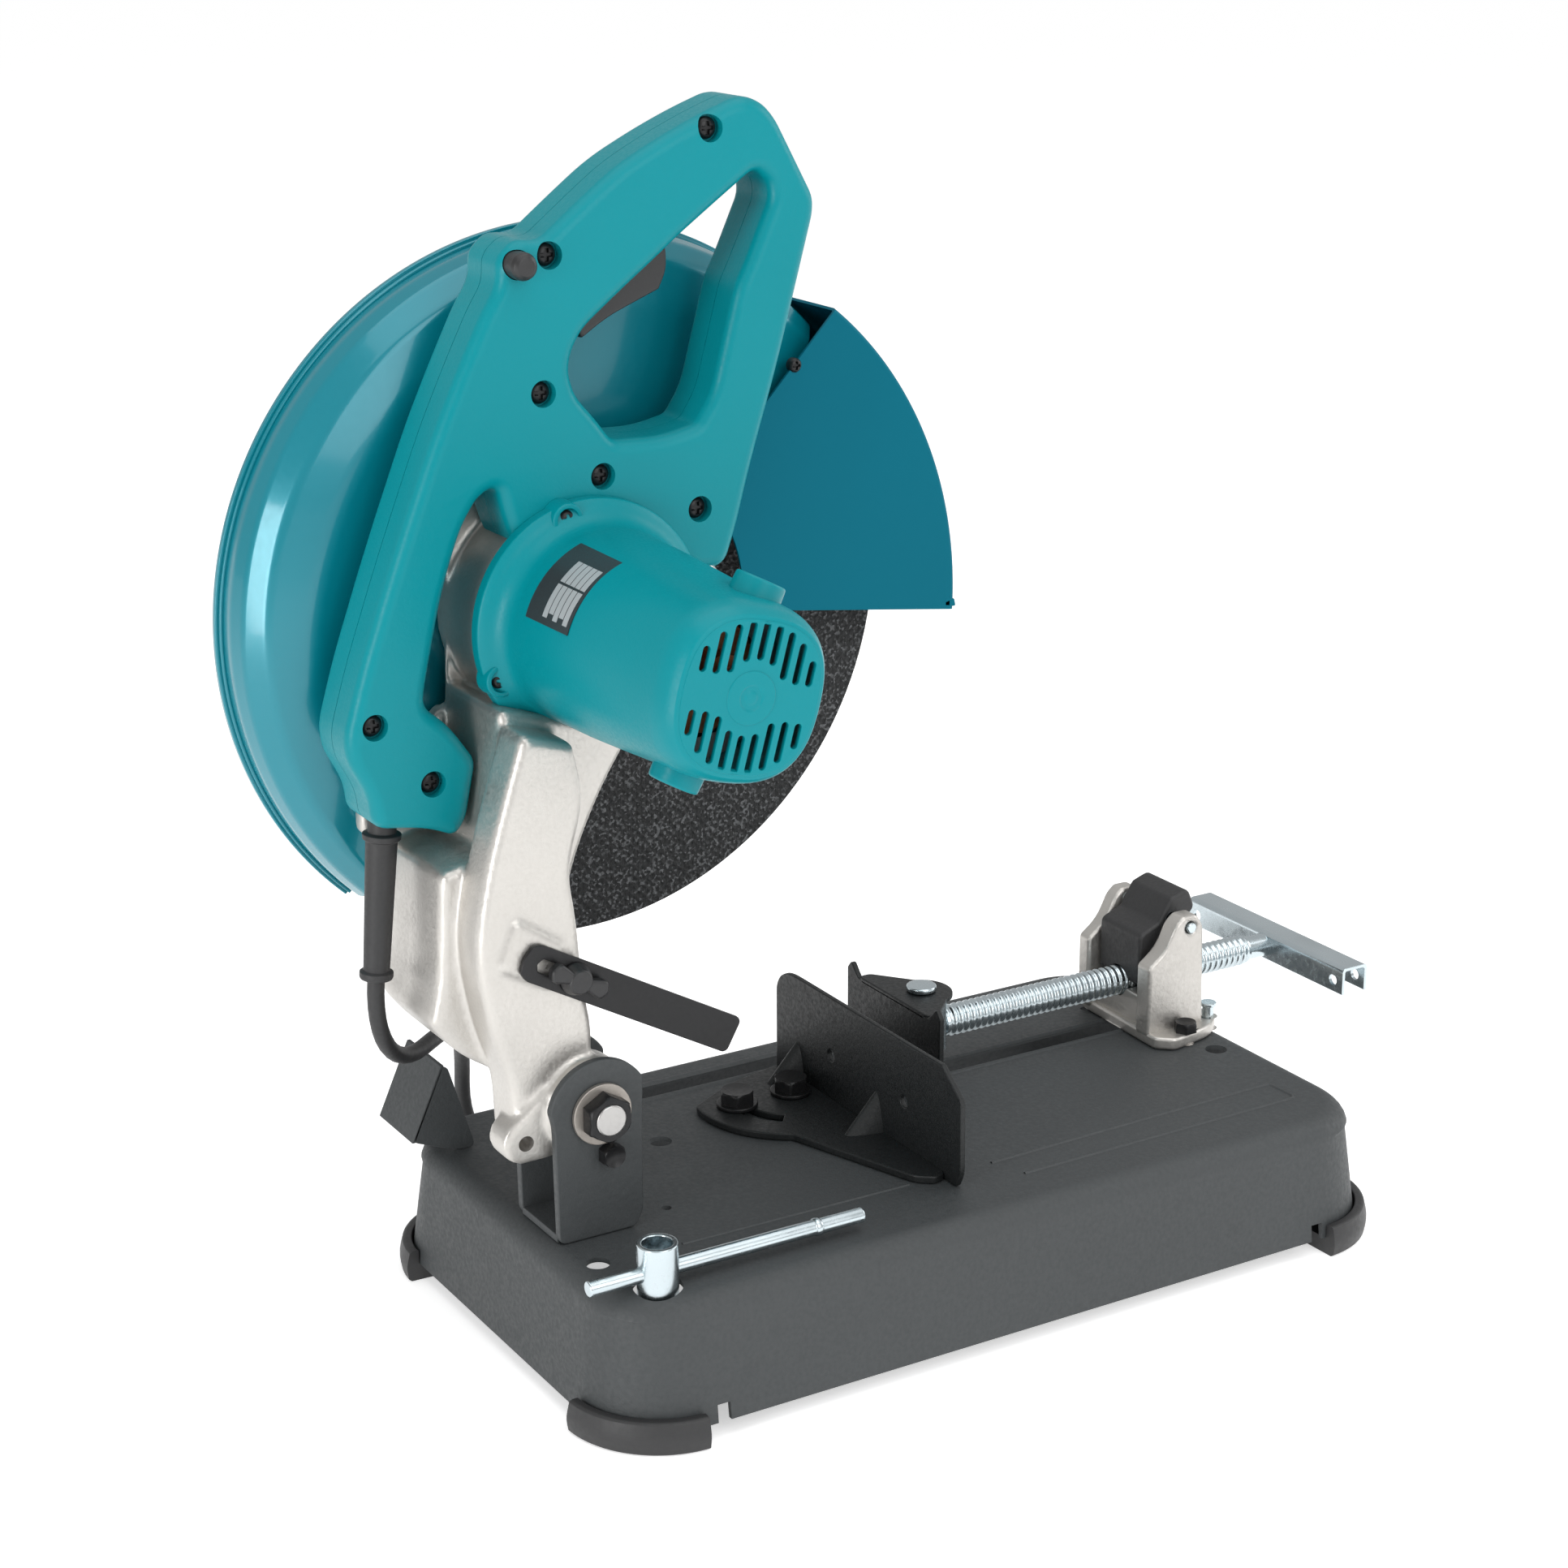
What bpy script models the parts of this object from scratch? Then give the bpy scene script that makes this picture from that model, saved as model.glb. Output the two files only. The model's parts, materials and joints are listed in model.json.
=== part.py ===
"""Abrasive chop saw: a pressed steel base, a sprung cutting head and a quick-release vise.

Frame: +Z up, floor at z = 0, the operator stands at -Y, the head pivots at +Y, the motor is on the -X side.
Lengths below are millimetres around the wheel centre plane (x = 0) and the wheel centre (y = 0).
All objects are moved together at the end so that the origin is the middle of the footprint.
"""

import math

import bmesh
import bpy
from mathutils import Matrix, Vector

MM = 0.001
GAP = 0.3

# Overall layout
WHEEL_R = 177.5
WHEEL_T = 3.0
WHEEL_Z = 352.0
ARBOR_R = 12.7
HINGE_Y = 64.0
HINGE_Z = 137.0
MOTOR_Y = 36.0
MOTOR_Z = WHEEL_Z + 11.0
MOTOR_FRONT = -82.0
MOTOR_END = -236.5
VENT_STEP = 13.0
VENT_WIDTH = 4.0
VENT_REACH = 35.5
VENT_HUB = 17.5

# Base shell
BASE_TOP = 72.3
BASE_RIM = 9.0
BASE_X = (-227.0, 39.0)
BASE_Y = (-362.0, 102.0)
BASE_DRAFT = 7.0
BASE_CORNER = 45.0
SHEET = 2.5
DECK = BASE_TOP + GAP
SLOT_HALF = 9.0
SLOT_Y = (-305.0, -22.0)
VISE_SLOT = (-64.0, -46.0, -318.0, -128.0)

# Guard and safety cover
GUARD_R = 186.0
COVER_R = 190.5
COVER_WIDE = (-38.0, 15.5)
COVER_START = 133.5
COVER_SWEEP = 54.0
COVER_GROWTH = 16.0

# Vise
SCREW_X = -54.0
SCREW_Z = 99.0
SCREW_R = 8.7
GROOVES = 8
GROOVE_STEP = 26.0
JAW_Y = -160.0
PIN_Y = -176.0

# Hinge bracket
CHEEK_NEAR = (-139.0, -134.5)
CHEEK_FAR = (-99.0, -94.5)

# Guide plate
PIVOT = (-48.6, -96.8)
LOCK_R = 33.0
LOCK = (PIVOT[0], PIVOT[1] + LOCK_R)
BOLT_WAY = 4.5
FOOT_R = 53.0

# Cord
CORD_R = 4.25
COIL_R = 46.0
COIL_HALF = 12.8
COIL_TOP = 17.7
COIL_AT = (108.0, -252.0)
PLUG_X = 103.0
PLUG_BACK = -145.0

AXES = {"X": Vector((1, 0, 0)), "Y": Vector((0, 1, 0)), "Z": Vector((0, 0, 1))}


def clear_scene():
    for obj in list(bpy.data.objects):
        bpy.data.objects.remove(obj, do_unlink=True)


def paint(obj, rgb, metallic, roughness):
    """Gives the object one Principled material of its own."""
    mat = bpy.data.materials.new(obj.name + "_mat")
    mat.use_nodes = True
    shader = mat.node_tree.nodes["Principled BSDF"]
    shader.inputs["Base Color"].default_value = (*rgb, 1.0)
    shader.inputs["Metallic"].default_value = metallic
    shader.inputs["Roughness"].default_value = roughness
    obj.data.materials.clear()
    obj.data.materials.append(mat)


TEAL = ((0.0, 0.33, 0.36), 0.0, 0.35)
TEAL_METAL = ((0.0, 0.17, 0.21), 0.2, 0.3)
CHARCOAL = ((0.045, 0.05, 0.053), 0.3, 0.6)
CAST = ((0.58, 0.57, 0.55), 0.9, 0.42)
ZINC = ((0.62, 0.66, 0.68), 1.0, 0.3)
BLACK = ((0.015, 0.015, 0.016), 0.1, 0.5)
RUBBER = ((0.02, 0.02, 0.02), 0.0, 0.75)
STEEL = ((0.45, 0.45, 0.46), 1.0, 0.35)
GRIT = ((0.03, 0.03, 0.03), 0.0, 0.9)
COPPER = ((0.55, 0.25, 0.12), 1.0, 0.4)


def axis_point(axis, centre, along, u, v):
    """A point `along` the axis and (u, v) across it. The centre holds the two other coordinates."""
    if axis == "X":
        return (along, centre[0] + u, centre[1] + v)
    if axis == "Y":
        return (centre[0] + u, along, centre[1] + v)
    return (centre[0] + u, centre[1] + v, along)


def lathe(profile, axis="X", centre=(0.0, 0.0), segments=48, start=0.0, sweep=360.0):
    """Turns a closed profile of (along, radius) points about the axis; a partial sweep gets flat ends."""
    bm = bmesh.new()
    full = sweep >= 360.0
    count = segments if full else segments + 1
    rings = []
    poles = {}
    for step in range(count):
        angle = math.radians(start + sweep * step / segments)
        ring = []
        for index, (along, radius) in enumerate(profile):
            if radius == 0.0 and index in poles:
                ring.append(poles[index])
                continue
            point = axis_point(axis, centre, along, radius * math.cos(angle), radius * math.sin(angle))
            vert = bm.verts.new(Vector(point))
            if radius == 0.0:
                poles[index] = vert
            ring.append(vert)
        rings.append(ring)
    pairs = list(zip(rings, rings[1:] + rings[:1])) if full else list(zip(rings, rings[1:]))
    size = len(profile)
    for near, far in pairs:
        for i in range(size):
            corners = [near[i], near[(i + 1) % size], far[(i + 1) % size], far[i]]
            face = list(dict.fromkeys(corners))
            if len(face) > 2:
                bm.faces.new(face)
    if not full:
        bm.faces.new(rings[0])
        bm.faces.new(list(reversed(rings[-1])))
    return bm


def prism(outline, low, high, axis="X"):
    """Extrudes an outline along the axis. The outline holds the two other coordinates in x, y, z order."""
    bm = bmesh.new()
    ends = []
    for along in (low, high):
        ends.append([bm.verts.new(Vector(axis_point(axis, (0, 0), along, u, v))) for u, v in outline])
    size = len(outline)
    bm.faces.new(ends[0])
    bm.faces.new(list(reversed(ends[1])))
    for i in range(size):
        j = (i + 1) % size
        bm.faces.new([ends[0][i], ends[1][i], ends[1][j], ends[0][j]])
    return bm


def box(x, y, z):
    return prism([(x[0], y[0]), (x[1], y[0]), (x[1], y[1]), (x[0], y[1])], z[0], z[1], "Z")


def rod(low, high, radius, axis="X", centre=(0.0, 0.0), segments=16):
    return lathe([(low, 0.0), (low, radius), (high, radius), (high, 0.0)], axis, centre, segments)


def hexagon(low, high, across, axis="X", centre=(0.0, 0.0)):
    return lathe([(low, 0.0), (low, across), (high, across), (high, 0.0)], axis, centre, 6)


def ring(low, high, inner, outer, axis="X", centre=(0.0, 0.0), segments=20):
    return lathe([(low, inner), (low, outer), (high, outer), (high, inner)], axis, centre, segments)


def arc(centre, radius, first, last, steps):
    """Points on a circle, with angles in degrees from the first coordinate towards the second."""
    points = []
    for i in range(steps + 1):
        angle = math.radians(first + (last - first) * i / steps)
        points.append((centre[0] + radius * math.cos(angle), centre[1] + radius * math.sin(angle)))
    return points


def rounded_rect(x, y, radius, steps=5):
    outline = []
    corners = ((x[1], y[1], 0), (x[0], y[1], 90), (x[0], y[0], 180), (x[1], y[0], 270))
    for cx, cy, first in corners:
        mx = cx - radius if cx == x[1] else cx + radius
        my = cy - radius if cy == y[1] else cy + radius
        outline += arc((mx, my), radius, first, first + 90, steps)
    return outline


def make(name, bm, look, turn=None):
    """Makes a named object from a bmesh in millimetres."""
    if turn is not None:
        bmesh.ops.transform(bm, matrix=turn, verts=bm.verts)
    bmesh.ops.remove_doubles(bm, verts=bm.verts, dist=0.001)
    bmesh.ops.recalc_face_normals(bm, faces=bm.faces)
    bmesh.ops.scale(bm, vec=(MM, MM, MM), verts=bm.verts)
    mesh = bpy.data.meshes.new(name)
    bm.to_mesh(mesh)
    bm.free()
    obj = bpy.data.objects.new(name, mesh)
    bpy.context.scene.collection.objects.link(obj)
    if look is not None:
        paint(obj, *look)
    return obj


def combine(obj, bm, operation, turn=None):
    """Joins a bmesh to the object, or cuts it away, with an exact boolean."""
    tool = make("tool", bm, None, turn)
    modifier = obj.modifiers.new("boolean", "BOOLEAN")
    modifier.operation = operation
    modifier.solver = "EXACT"
    modifier.object = tool
    depsgraph = bpy.context.evaluated_depsgraph_get()
    result = bpy.data.meshes.new_from_object(obj.evaluated_get(depsgraph))
    obj.modifiers.clear()
    old = obj.data
    obj.data = result
    result.name = old.name
    bpy.data.meshes.remove(old)
    bpy.data.objects.remove(tool, do_unlink=True)


def join(obj, *parts):
    for bm in parts:
        combine(obj, bm, "UNION")


def cut(obj, *parts):
    for bm in parts:
        combine(obj, bm, "DIFFERENCE")


def set_origin(obj, point):
    """Puts the object's origin at the point (millimetres) without moving its surface."""
    shift = Vector(point) * MM
    obj.data.transform(Matrix.Translation(-shift))
    obj.location = shift


def turn_about(point, axis, degrees):
    centre = Vector(point)
    spin = Matrix.Rotation(math.radians(degrees), 4, AXES[axis])
    return Matrix.Translation(centre) @ spin @ Matrix.Translation(-centre)


def w(y, z):
    """A (y, z) pair measured from the wheel centre, as (y, z) above the floor."""
    return (y, WHEEL_Z + z)


def outline_w(points):
    return [w(y, z) for y, z in points]


# ---------------------------------------------------------------- base


def base_ring(inset, z, shrink=0.0):
    x = (BASE_X[0] + inset, BASE_X[1] - inset)
    y = (BASE_Y[0] + inset, BASE_Y[1] - inset)
    return [(px, py, z) for px, py in rounded_rect(x, y, BASE_CORNER - shrink)]


def base_shell():
    """A drafted, hollow pan: outer wall and rounded edge, deck, then the inner wall back to the rim."""
    levels = [(0.0, BASE_RIM, 0.0), (BASE_DRAFT - 1, BASE_TOP - 12, 3.0)]
    for angle in (30, 60, 90):
        turn = math.radians(angle)
        inset = BASE_DRAFT - 1 + 12 * (1 - math.cos(turn))
        levels.append((inset, BASE_TOP - 12 + 12 * math.sin(turn), 3.0 + inset / 2))
    bm = bmesh.new()
    stack = [base_ring(i, z, s) for i, z, s in levels]
    for inset, z, shrink in reversed(levels):
        inner_z = z - SHEET if z > BASE_RIM else z
        stack.append(base_ring(inset + SHEET, inner_z, shrink + SHEET))
    rings = [[bm.verts.new(Vector(p)) for p in level] for level in stack]
    size = len(rings[0])
    top = len(levels) - 1
    for k, (lower, upper) in enumerate(zip(rings, rings[1:] + rings[:1])):
        if k == top:
            continue
        for i in range(size):
            j = (i + 1) % size
            bm.faces.new([lower[i], lower[j], upper[j], upper[i]])
    bm.faces.new(rings[top])
    bm.faces.new(rings[top + 1])
    shell = make("base_shell", bm, CHARCOAL)
    deep = (BASE_TOP - 32.3, BASE_TOP + 17.7)
    wheel_slot = rounded_rect((-SLOT_HALF, SLOT_HALF), SLOT_Y, SLOT_HALF - 0.1, 3)
    vise_half = (VISE_SLOT[1] - VISE_SLOT[0]) / 2
    vise_slot = rounded_rect(VISE_SLOT[:2], VISE_SLOT[2:], vise_half - 0.1, 3)
    cut(shell, prism(wheel_slot, *deep, "Z"), prism(vise_slot, *deep, "Z"))
    for centre, radius in (
        ((-58.5, -12.0), 6.0),
        ((-163.7, 80.0), 6.0),
        ((-113.1, -333.1), 6.0),
        ((-199.0, 67.0), 12.0),
        ((-128.4, 23.2), 2.5),
        ((-27.2, -306.4), 2.5),
        (PIVOT, BOLT_WAY),
        (LOCK, BOLT_WAY),
    ):
        cut(shell, rod(*deep, radius, "Z", centre, 12))
    for x0, y0 in ((-240, 44), (-240, -316), (30, 44), (30, -316)):
        cut(shell, box((x0, x0 + 24), (y0, y0 + 7), (0, 18)))
    return shell


def feet():
    """Rubber corner feet: a pad under the rim and a lip that wraps the outside of the corner."""
    lip = BASE_CORNER + GAP
    profile = [(0, 26), (0, 51), (8, 52.5), (16, 50), (17, lip), (BASE_RIM - GAP, lip), (BASE_RIM - GAP, 26)]
    corners = (
        ("foot_rear_near", BASE_X[0] + BASE_CORNER, BASE_Y[1] - BASE_CORNER, 90),
        ("foot_rear_far", BASE_X[1] - BASE_CORNER, BASE_Y[1] - BASE_CORNER, 0),
        ("foot_front_near", BASE_X[0] + BASE_CORNER, BASE_Y[0] + BASE_CORNER, 180),
        ("foot_front_far", BASE_X[1] - BASE_CORNER, BASE_Y[0] + BASE_CORNER, 270),
    )
    for name, cx, cy, first in corners:
        make(name, lathe(profile, "Z", (cx, cy), 7, first + 2, 86), RUBBER)


def hinge_bracket():
    cheek = [(87.5, DECK), (88.5, HINGE_Z - 3)]
    cheek += arc((HINGE_Y, HINGE_Z), 27, 10, 150, 8)
    cheek += [(41.5, HINGE_Z - 19), (41.5, DECK + 7.4), (46, DECK)]
    bracket = make("hinge_bracket", prism(cheek, *CHEEK_NEAR, "X"), CHARCOAL)
    floor = box((CHEEK_NEAR[1] - 1, CHEEK_FAR[0] + 1), (46, 87), (DECK, DECK + 4))
    join(bracket, prism(cheek, *CHEEK_FAR, "X"), floor)
    for low, high in (CHEEK_NEAR, CHEEK_FAR):
        cut(bracket, rod(low - 2, high + 2, 8.3, "X", (HINGE_Y, HINGE_Z)))


def hinge_hardware():
    at = (HINGE_Y, HINGE_Z)
    shank = [(-151, 0), (-151, 8), (-94, 8), (-94, 12.4), (-85, 12.4), (-85, 0)]
    make("hinge_bolt", lathe(shank, "X", at, 16), STEEL)
    make("hinge_washer", ring(-141.8, -139.3, 8.3, 15.5, "X", at), CAST)
    nut = [(-149.5, 8.3), (-149.5, 12.2), (-142.1, 12.2), (-142.1, 8.3)]
    make("hinge_nut", lathe(nut, "X", at, 16), BLACK)
    make("stop_bolt", hexagon(-146, -139.3, 5.4, "X", (HINGE_Y - 4, HINGE_Z - 21.5)), BLACK)


def return_spring():
    """A torsion spring round the hinge bolt: a wire swept along two and a half turns."""
    bm = bmesh.new()
    turns, per_turn, wire, mean = 2.5, 14, 1.9, 13.0
    count = int(turns * per_turn)
    rings = []
    for i in range(count + 1):
        angle = 2 * math.pi * i / per_turn
        along = -101.7 - 8.0 * i / count
        out = Vector((0, math.cos(angle), math.sin(angle)))
        centre = Vector((along, HINGE_Y, HINGE_Z)) + out * mean
        loop = []
        for k in range(6):
            turn = math.pi * k / 3
            aside = AXES["X"] * wire * 0.72 * math.sin(turn)
            loop.append(bm.verts.new(centre + out * wire * math.cos(turn) + aside))
        rings.append(loop)
    for near, far in zip(rings, rings[1:]):
        for k in range(6):
            bm.faces.new([near[k], near[(k + 1) % 6], far[(k + 1) % 6], far[k]])
    bm.faces.new(rings[0])
    bm.faces.new(list(reversed(rings[-1])))
    make("return_spring", bm, STEEL)


def spark_plate():
    """A folded sheet behind the wheel slot: a sloping flap carried by two side cheeks on the deck."""
    flap = [(88, 121), (90, 121), (107.5, 82), (105.5, 82)]
    plate = make("spark_plate", prism(flap, -14, 27, "X"), CHARCOAL)
    side = [(72, DECK), (83, DECK), (107, 82.5), (89.5, 120.5), (86, 119)]
    join(plate, prism(side, -14, -12, "X"), prism(side, 25, 27, "X"))


def guide():
    """The swivelling work guide: an upright plate, a foot with an arc slot, and two gussets."""
    upright = [(-10, DECK), (-10, 122), (-13, 128), (-20, 132.5), (-28, 133.5), (-170, 133.5), (-187.5, 120)]
    upright += [(-188, 80), (-184, DECK)]
    plate = make("guide_plate", prism([(x, z) for x, z in upright], -114, -111, "Y"), CHARCOAL)
    foot = [(-12, -111.5), (-20, -75)] + arc(PIVOT, FOOT_R, 78, 150, 7)
    foot += [(-170, -96), (-176, -104), (-174, -111.5)]
    join(plate, prism(foot, DECK, DECK + 4, "Z"))
    for x in (-32, -110):
        gusset = [(-112, DECK + 3), (-112, 92), (-94, DECK + 3)]
        join(plate, prism(gusset, x - 4, x + 4, "X"))
    slot = arc(PIVOT, LOCK_R + BOLT_WAY, 80, 146, 6)
    slot += list(reversed(arc(PIVOT, LOCK_R - BOLT_WAY, 80, 146, 6)))
    through = (DECK - 2.6, DECK + 7.4)
    cut(plate, prism(slot, *through, "Z"), rod(*through, BOLT_WAY, "Z", PIVOT))
    for x in (-66, -136):
        cut(plate, rod(-120, -105, 3.2, "Y", (x, 101), 10))
    set_origin(plate, (*PIVOT, DECK))
    for name, at in (("guide_pivot_bolt", PIVOT), ("guide_lock_bolt", LOCK)):
        top = DECK + 4 + GAP
        profile = [(DECK - 12.6, 0), (DECK - 12.6, 4), (top, 4), (top, 11), (top + 2, 11), (top + 2, 0)]
        bolt = make(name, lathe(profile, "Z", at, 14), BLACK)
        join(bolt, hexagon(top + 1.5, top + 9, 9.8, "Z", at))
        join(bolt, hexagon(DECK - 11.6, DECK - 3.6, 8, "Z", at))


# ---------------------------------------------------------------- vise


def vise_bracket():
    """Cast bracket: a foot on the deck, two cheeks for the lever pin and a saddle under the screw."""
    foot = [(-104, -312), (-98, -342), (-86, -354), (-30, -352), (-22, -342), (-22, -306), (-96, -303)]
    bracket = make("vise_bracket", prism(foot, DECK, DECK + 7, "Z"), CAST)
    sunk = DECK + 3.4
    cheek = [(-303, sunk), (-303, 118), (-314, 126), (-321, 140), (-326, 144), (-335, 144)]
    cheek += [(-340, 137), (-342, sunk)]
    join(bracket, prism(cheek, -90, -78, "X"), prism(cheek, -34, -24, "X"))
    join(bracket, box((-79, -33), (-340, -308), (sunk, 96)))
    screw_way = rod(-360, -290, SCREW_R + GAP, "Y", (SCREW_X, SCREW_Z), 20)
    lever_pin = rod(-95, -20, 3.3, "X", (-331, 137), 12)
    through = (DECK - 2.6, DECK + 17.4)
    cut(bracket, screw_way, lever_pin, rod(*through, 3.3, "Z", (-97, -324), 12))
    cut(bracket, rod(*through, 3.6, "Z", (-86, -348.5), 12))
    profile = [(DECK + 0.4, 0), (DECK + 0.4, 3), (DECK + 7.3, 3), (DECK + 7.3, 6), (DECK + 13, 6), (DECK + 13, 0)]
    make("vise_bracket_screw", lathe(profile, "Z", (-97, -324), 12), BLACK)
    make("half_nut_pin", rod(-91, -23, 3.0, "X", (-331, 137), 12), ZINC)


def half_nut_lever():
    """The quick-release lever: half a nut that sits on the screw and lifts about its pin."""
    side = [(-309, 100), (-309, 131), (-322, 136), (-330, 149), (-342, 153), (-347, 141)]
    side += [(-334, 128), (-333, 100)]
    lever = make("half_nut_lever", prism(side, -73, -36, "X"), BLACK)
    cut(lever, rod(-360, -300, SCREW_R + GAP, "Y", (SCREW_X, SCREW_Z), 20))
    cut(lever, rod(-80, -30, 3.3, "X", (-331, 137), 12))
    set_origin(lever, (SCREW_X, -331, 137))


def vise_screw():
    """The clamping screw, its thread reduced to a few grooves, and the channel that turns it."""
    profile = [(-172, 0), (-172, 6.5), (-186, 6.5), (-188, SCREW_R)]
    for i in range(GROOVES):
        y = -190 - i * GROOVE_STEP
        profile += [(y, SCREW_R), (y - 0.7 * GROOVE_STEP, SCREW_R)]
        profile += [(y - 0.75 * GROOVE_STEP, SCREW_R - 0.9), (y - 0.95 * GROOVE_STEP, SCREW_R - 0.9)]
    profile += [(-399, SCREW_R), (-401, 6.8), (-424, 6.8), (-424, 0)]
    screw = make("vise_screw", lathe(profile, "Y", (SCREW_X, SCREW_Z), 14), ZINC)
    set_origin(screw, (SCREW_X, -172, SCREW_Z))
    web = [(-413, 91), (-413, 107), (-431, 107), (-431, 91), (-429, 91), (-429, 105), (-415, 105), (-415, 91)]
    handle = make("vise_handle", prism([(y, z) for y, z in web], -124, 14, "X"), ZINC)
    cut(handle, rod(-440, -405, 7.1, "Y", (SCREW_X, SCREW_Z), 14))
    for x in (-116, 6):
        cut(handle, rod(-440, -405, 3.2, "Y", (x, 98), 10))
    set_origin(handle, (SCREW_X, -172, SCREW_Z))


def vise_jaw():
    """The jaw plate with its top tongue, and the swivel block whose pin carries it."""
    upright = [(-98, DECK), (-98, 122), (-94, 127), (-90, 122), (-86, 119), (-18, 119)]
    upright += [(-15, 122), (-11, 127), (-7, 122), (-7, DECK)]
    jaw = make("jaw_plate", prism(upright, JAW_Y - 1.5, JAW_Y + 1.5, "Y"), CHARCOAL)
    tongue = [(-86, JAW_Y + 1.5), (-86, -166)] + arc((SCREW_X, PIN_Y), 17, 200, 340, 8)
    tongue += [(-18, -166), (-18, JAW_Y + 1.5)]
    join(jaw, prism(tongue, 117, 120, "Z"))
    cut(jaw, rod(110, 130, 5.4, "Z", (SCREW_X, PIN_Y), 14))
    set_origin(jaw, (SCREW_X, PIN_Y, 117))
    block = make("vise_swivel", box((SCREW_X - 12, SCREW_X + 12), (-185.5, -164), (88, 116.6)), ZINC)
    pin = [(114, 0), (114, 5), (120.3, 5), (120.3, 8.2), (123, 8.2), (123.6, 7), (123.6, 0)]
    join(block, lathe(pin, "Z", (SCREW_X, PIN_Y), 14))
    cut(block, rod(-195, -171.7, 6.9, "Y", (SCREW_X, SCREW_Z), 16))


def loose_tools():
    """The socket wrench parked in its deck hole, and the pin that locks the head down for carrying."""
    at = (-199.0, 67.0)
    tube = [(DECK - 12.6, 7), (DECK - 12.6, 10), (DECK + 22.4, 10), (DECK + 22.4, 7.4)]
    wrench = make("socket_wrench", lathe(tube, "Z", at, 18), ZINC)
    join(wrench, rod(-46, 104, 3.9, "Y", (at[0], DECK + 7.9), 12))
    profile = [(1.4, 0), (1.4, 3.2), (13.4, 3.2), (13.4, 4.6), (15.4, 4.6), (15.4, 0)]
    profile = [(DECK + up, radius) for up, radius in profile]
    make("lock_pin", lathe(profile, "Z", (-86, -348.5), 12), ZINC)


# ---------------------------------------------------------------- head


def head_arm():
    """Cast aluminium arm and gear case, bored for the spindle, the gears and the hinge bolt."""
    spindle = (0.0, WHEEL_Z)
    motor = (MOTOR_Y, MOTOR_Z)
    back = -31.0
    arm = make("head_arm", rod(MOTOR_FRONT + GAP, back, 55, "X", motor, 32), CAST)
    join(arm, rod(MOTOR_FRONT + 2, back + 0.4, 46, "X", spindle, 30), rod(back - 1, -8, 25, "X", spindle, 22))
    tongue = outline_w([(-42, 30), (-40, 52), (-18, 70), (16, 90), (45, 95), (88, 60), (92, -40), (60, -40)])
    join(arm, prism(tongue, -41.5, -38.6, "X"))
    block = [(66, -34), (92, -26), (100, -50), (112, -88), (120, -130), (112, -172), (104, -196), (103, -226)]
    block += [(98, -236), (84, -240), (66, -216), (58, -186), (64, -150), (66, -120), (70, -96), (60, -62)]
    join(arm, prism(outline_w(block), -126, -99.6, "X"))
    web = [(20, -40), (92, -20), (93, -52), (100, -90), (124, -96), (127, -150), (132, -170), (118, -188)]
    web += [(100, -200), (84, -188), (66, -170), (58, -110), (40, -70)]
    join(arm, prism(outline_w(web), -100.2, -40.2, "X"))
    lower = [(122, -62), (94, -33), (57, -43), (37, -68), (61, -107), (110, -106), (138, -90), (138, -70)]
    join(arm, prism(outline_w(lower), -41.1, back - 0.6, "X"))
    join(arm, rod(-134.2, -112.5, 24, "X", (HINGE_Y, HINGE_Z), 20))
    lug = arc(w(100, -226), 11, -90, 60, 5) + [w(84, -200), w(72, -236)]
    join(arm, prism(lug, -130, -112, "X"))
    boss = outline_w([(100, -114), (75, -131), (81, -152), (110, -137)])
    join(arm, prism(boss, -128.4, -120, "X"))
    cut(arm, rod(-140, -90, 8.4, "X", (HINGE_Y, HINGE_Z), 18))
    cut(arm, rod(-112.0, -80, 29.5, "X", (HINGE_Y, HINGE_Z), 22))
    cut(arm, rod(-140, -118, 4, "X", w(99.3, -226.4), 10))
    cut(arm, rod(-140, -112, 3.3, "X", w(72, -147), 10))
    bore = [(-76, 0), (-76, 36), (-56, 36), (-56, 16.3), (-45, 16.3), (-45, 10), (-22, 10), (-22, 16.3)]
    cut(arm, lathe(bore + [(-2, 16.3), (-2, 0)], "X", spindle, 26))
    cut(arm, lathe([(-90, 0), (-90, 13.3), (-73, 13.3), (-73, 8), (-57, 8), (-57, 0)], "X", motor, 18))
    cut(arm, rod(-103, MOTOR_FRONT + GAP - 0.1, 62, "X", motor, 24))
    set_origin(arm, (-110, HINGE_Y, HINGE_Z))


def guard():
    """The drawn wheel guard: a dished near wall, a rounded band and a flat far wall, open below."""
    outer = [(-30, 52), (-28.6, 152), (-23, 173), (-13, 182), (-4, 184.6), (7, 184.6), (7, 187.8)]
    outer += [(10.5, 187.8), (10.5, 60)]
    inner = [(9, 60), (9, 183), (-4, 183), (-12.4, 180.6), (-21.8, 171.8), (-27, 151), (-28.5, 52)]
    shell = lathe(outer + inner, "X", (0, WHEEL_Z), 28, -47, 183)
    body = make("guard", shell, TEAL_METAL)
    set_origin(body, (0, 0, WHEEL_Z))


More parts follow.
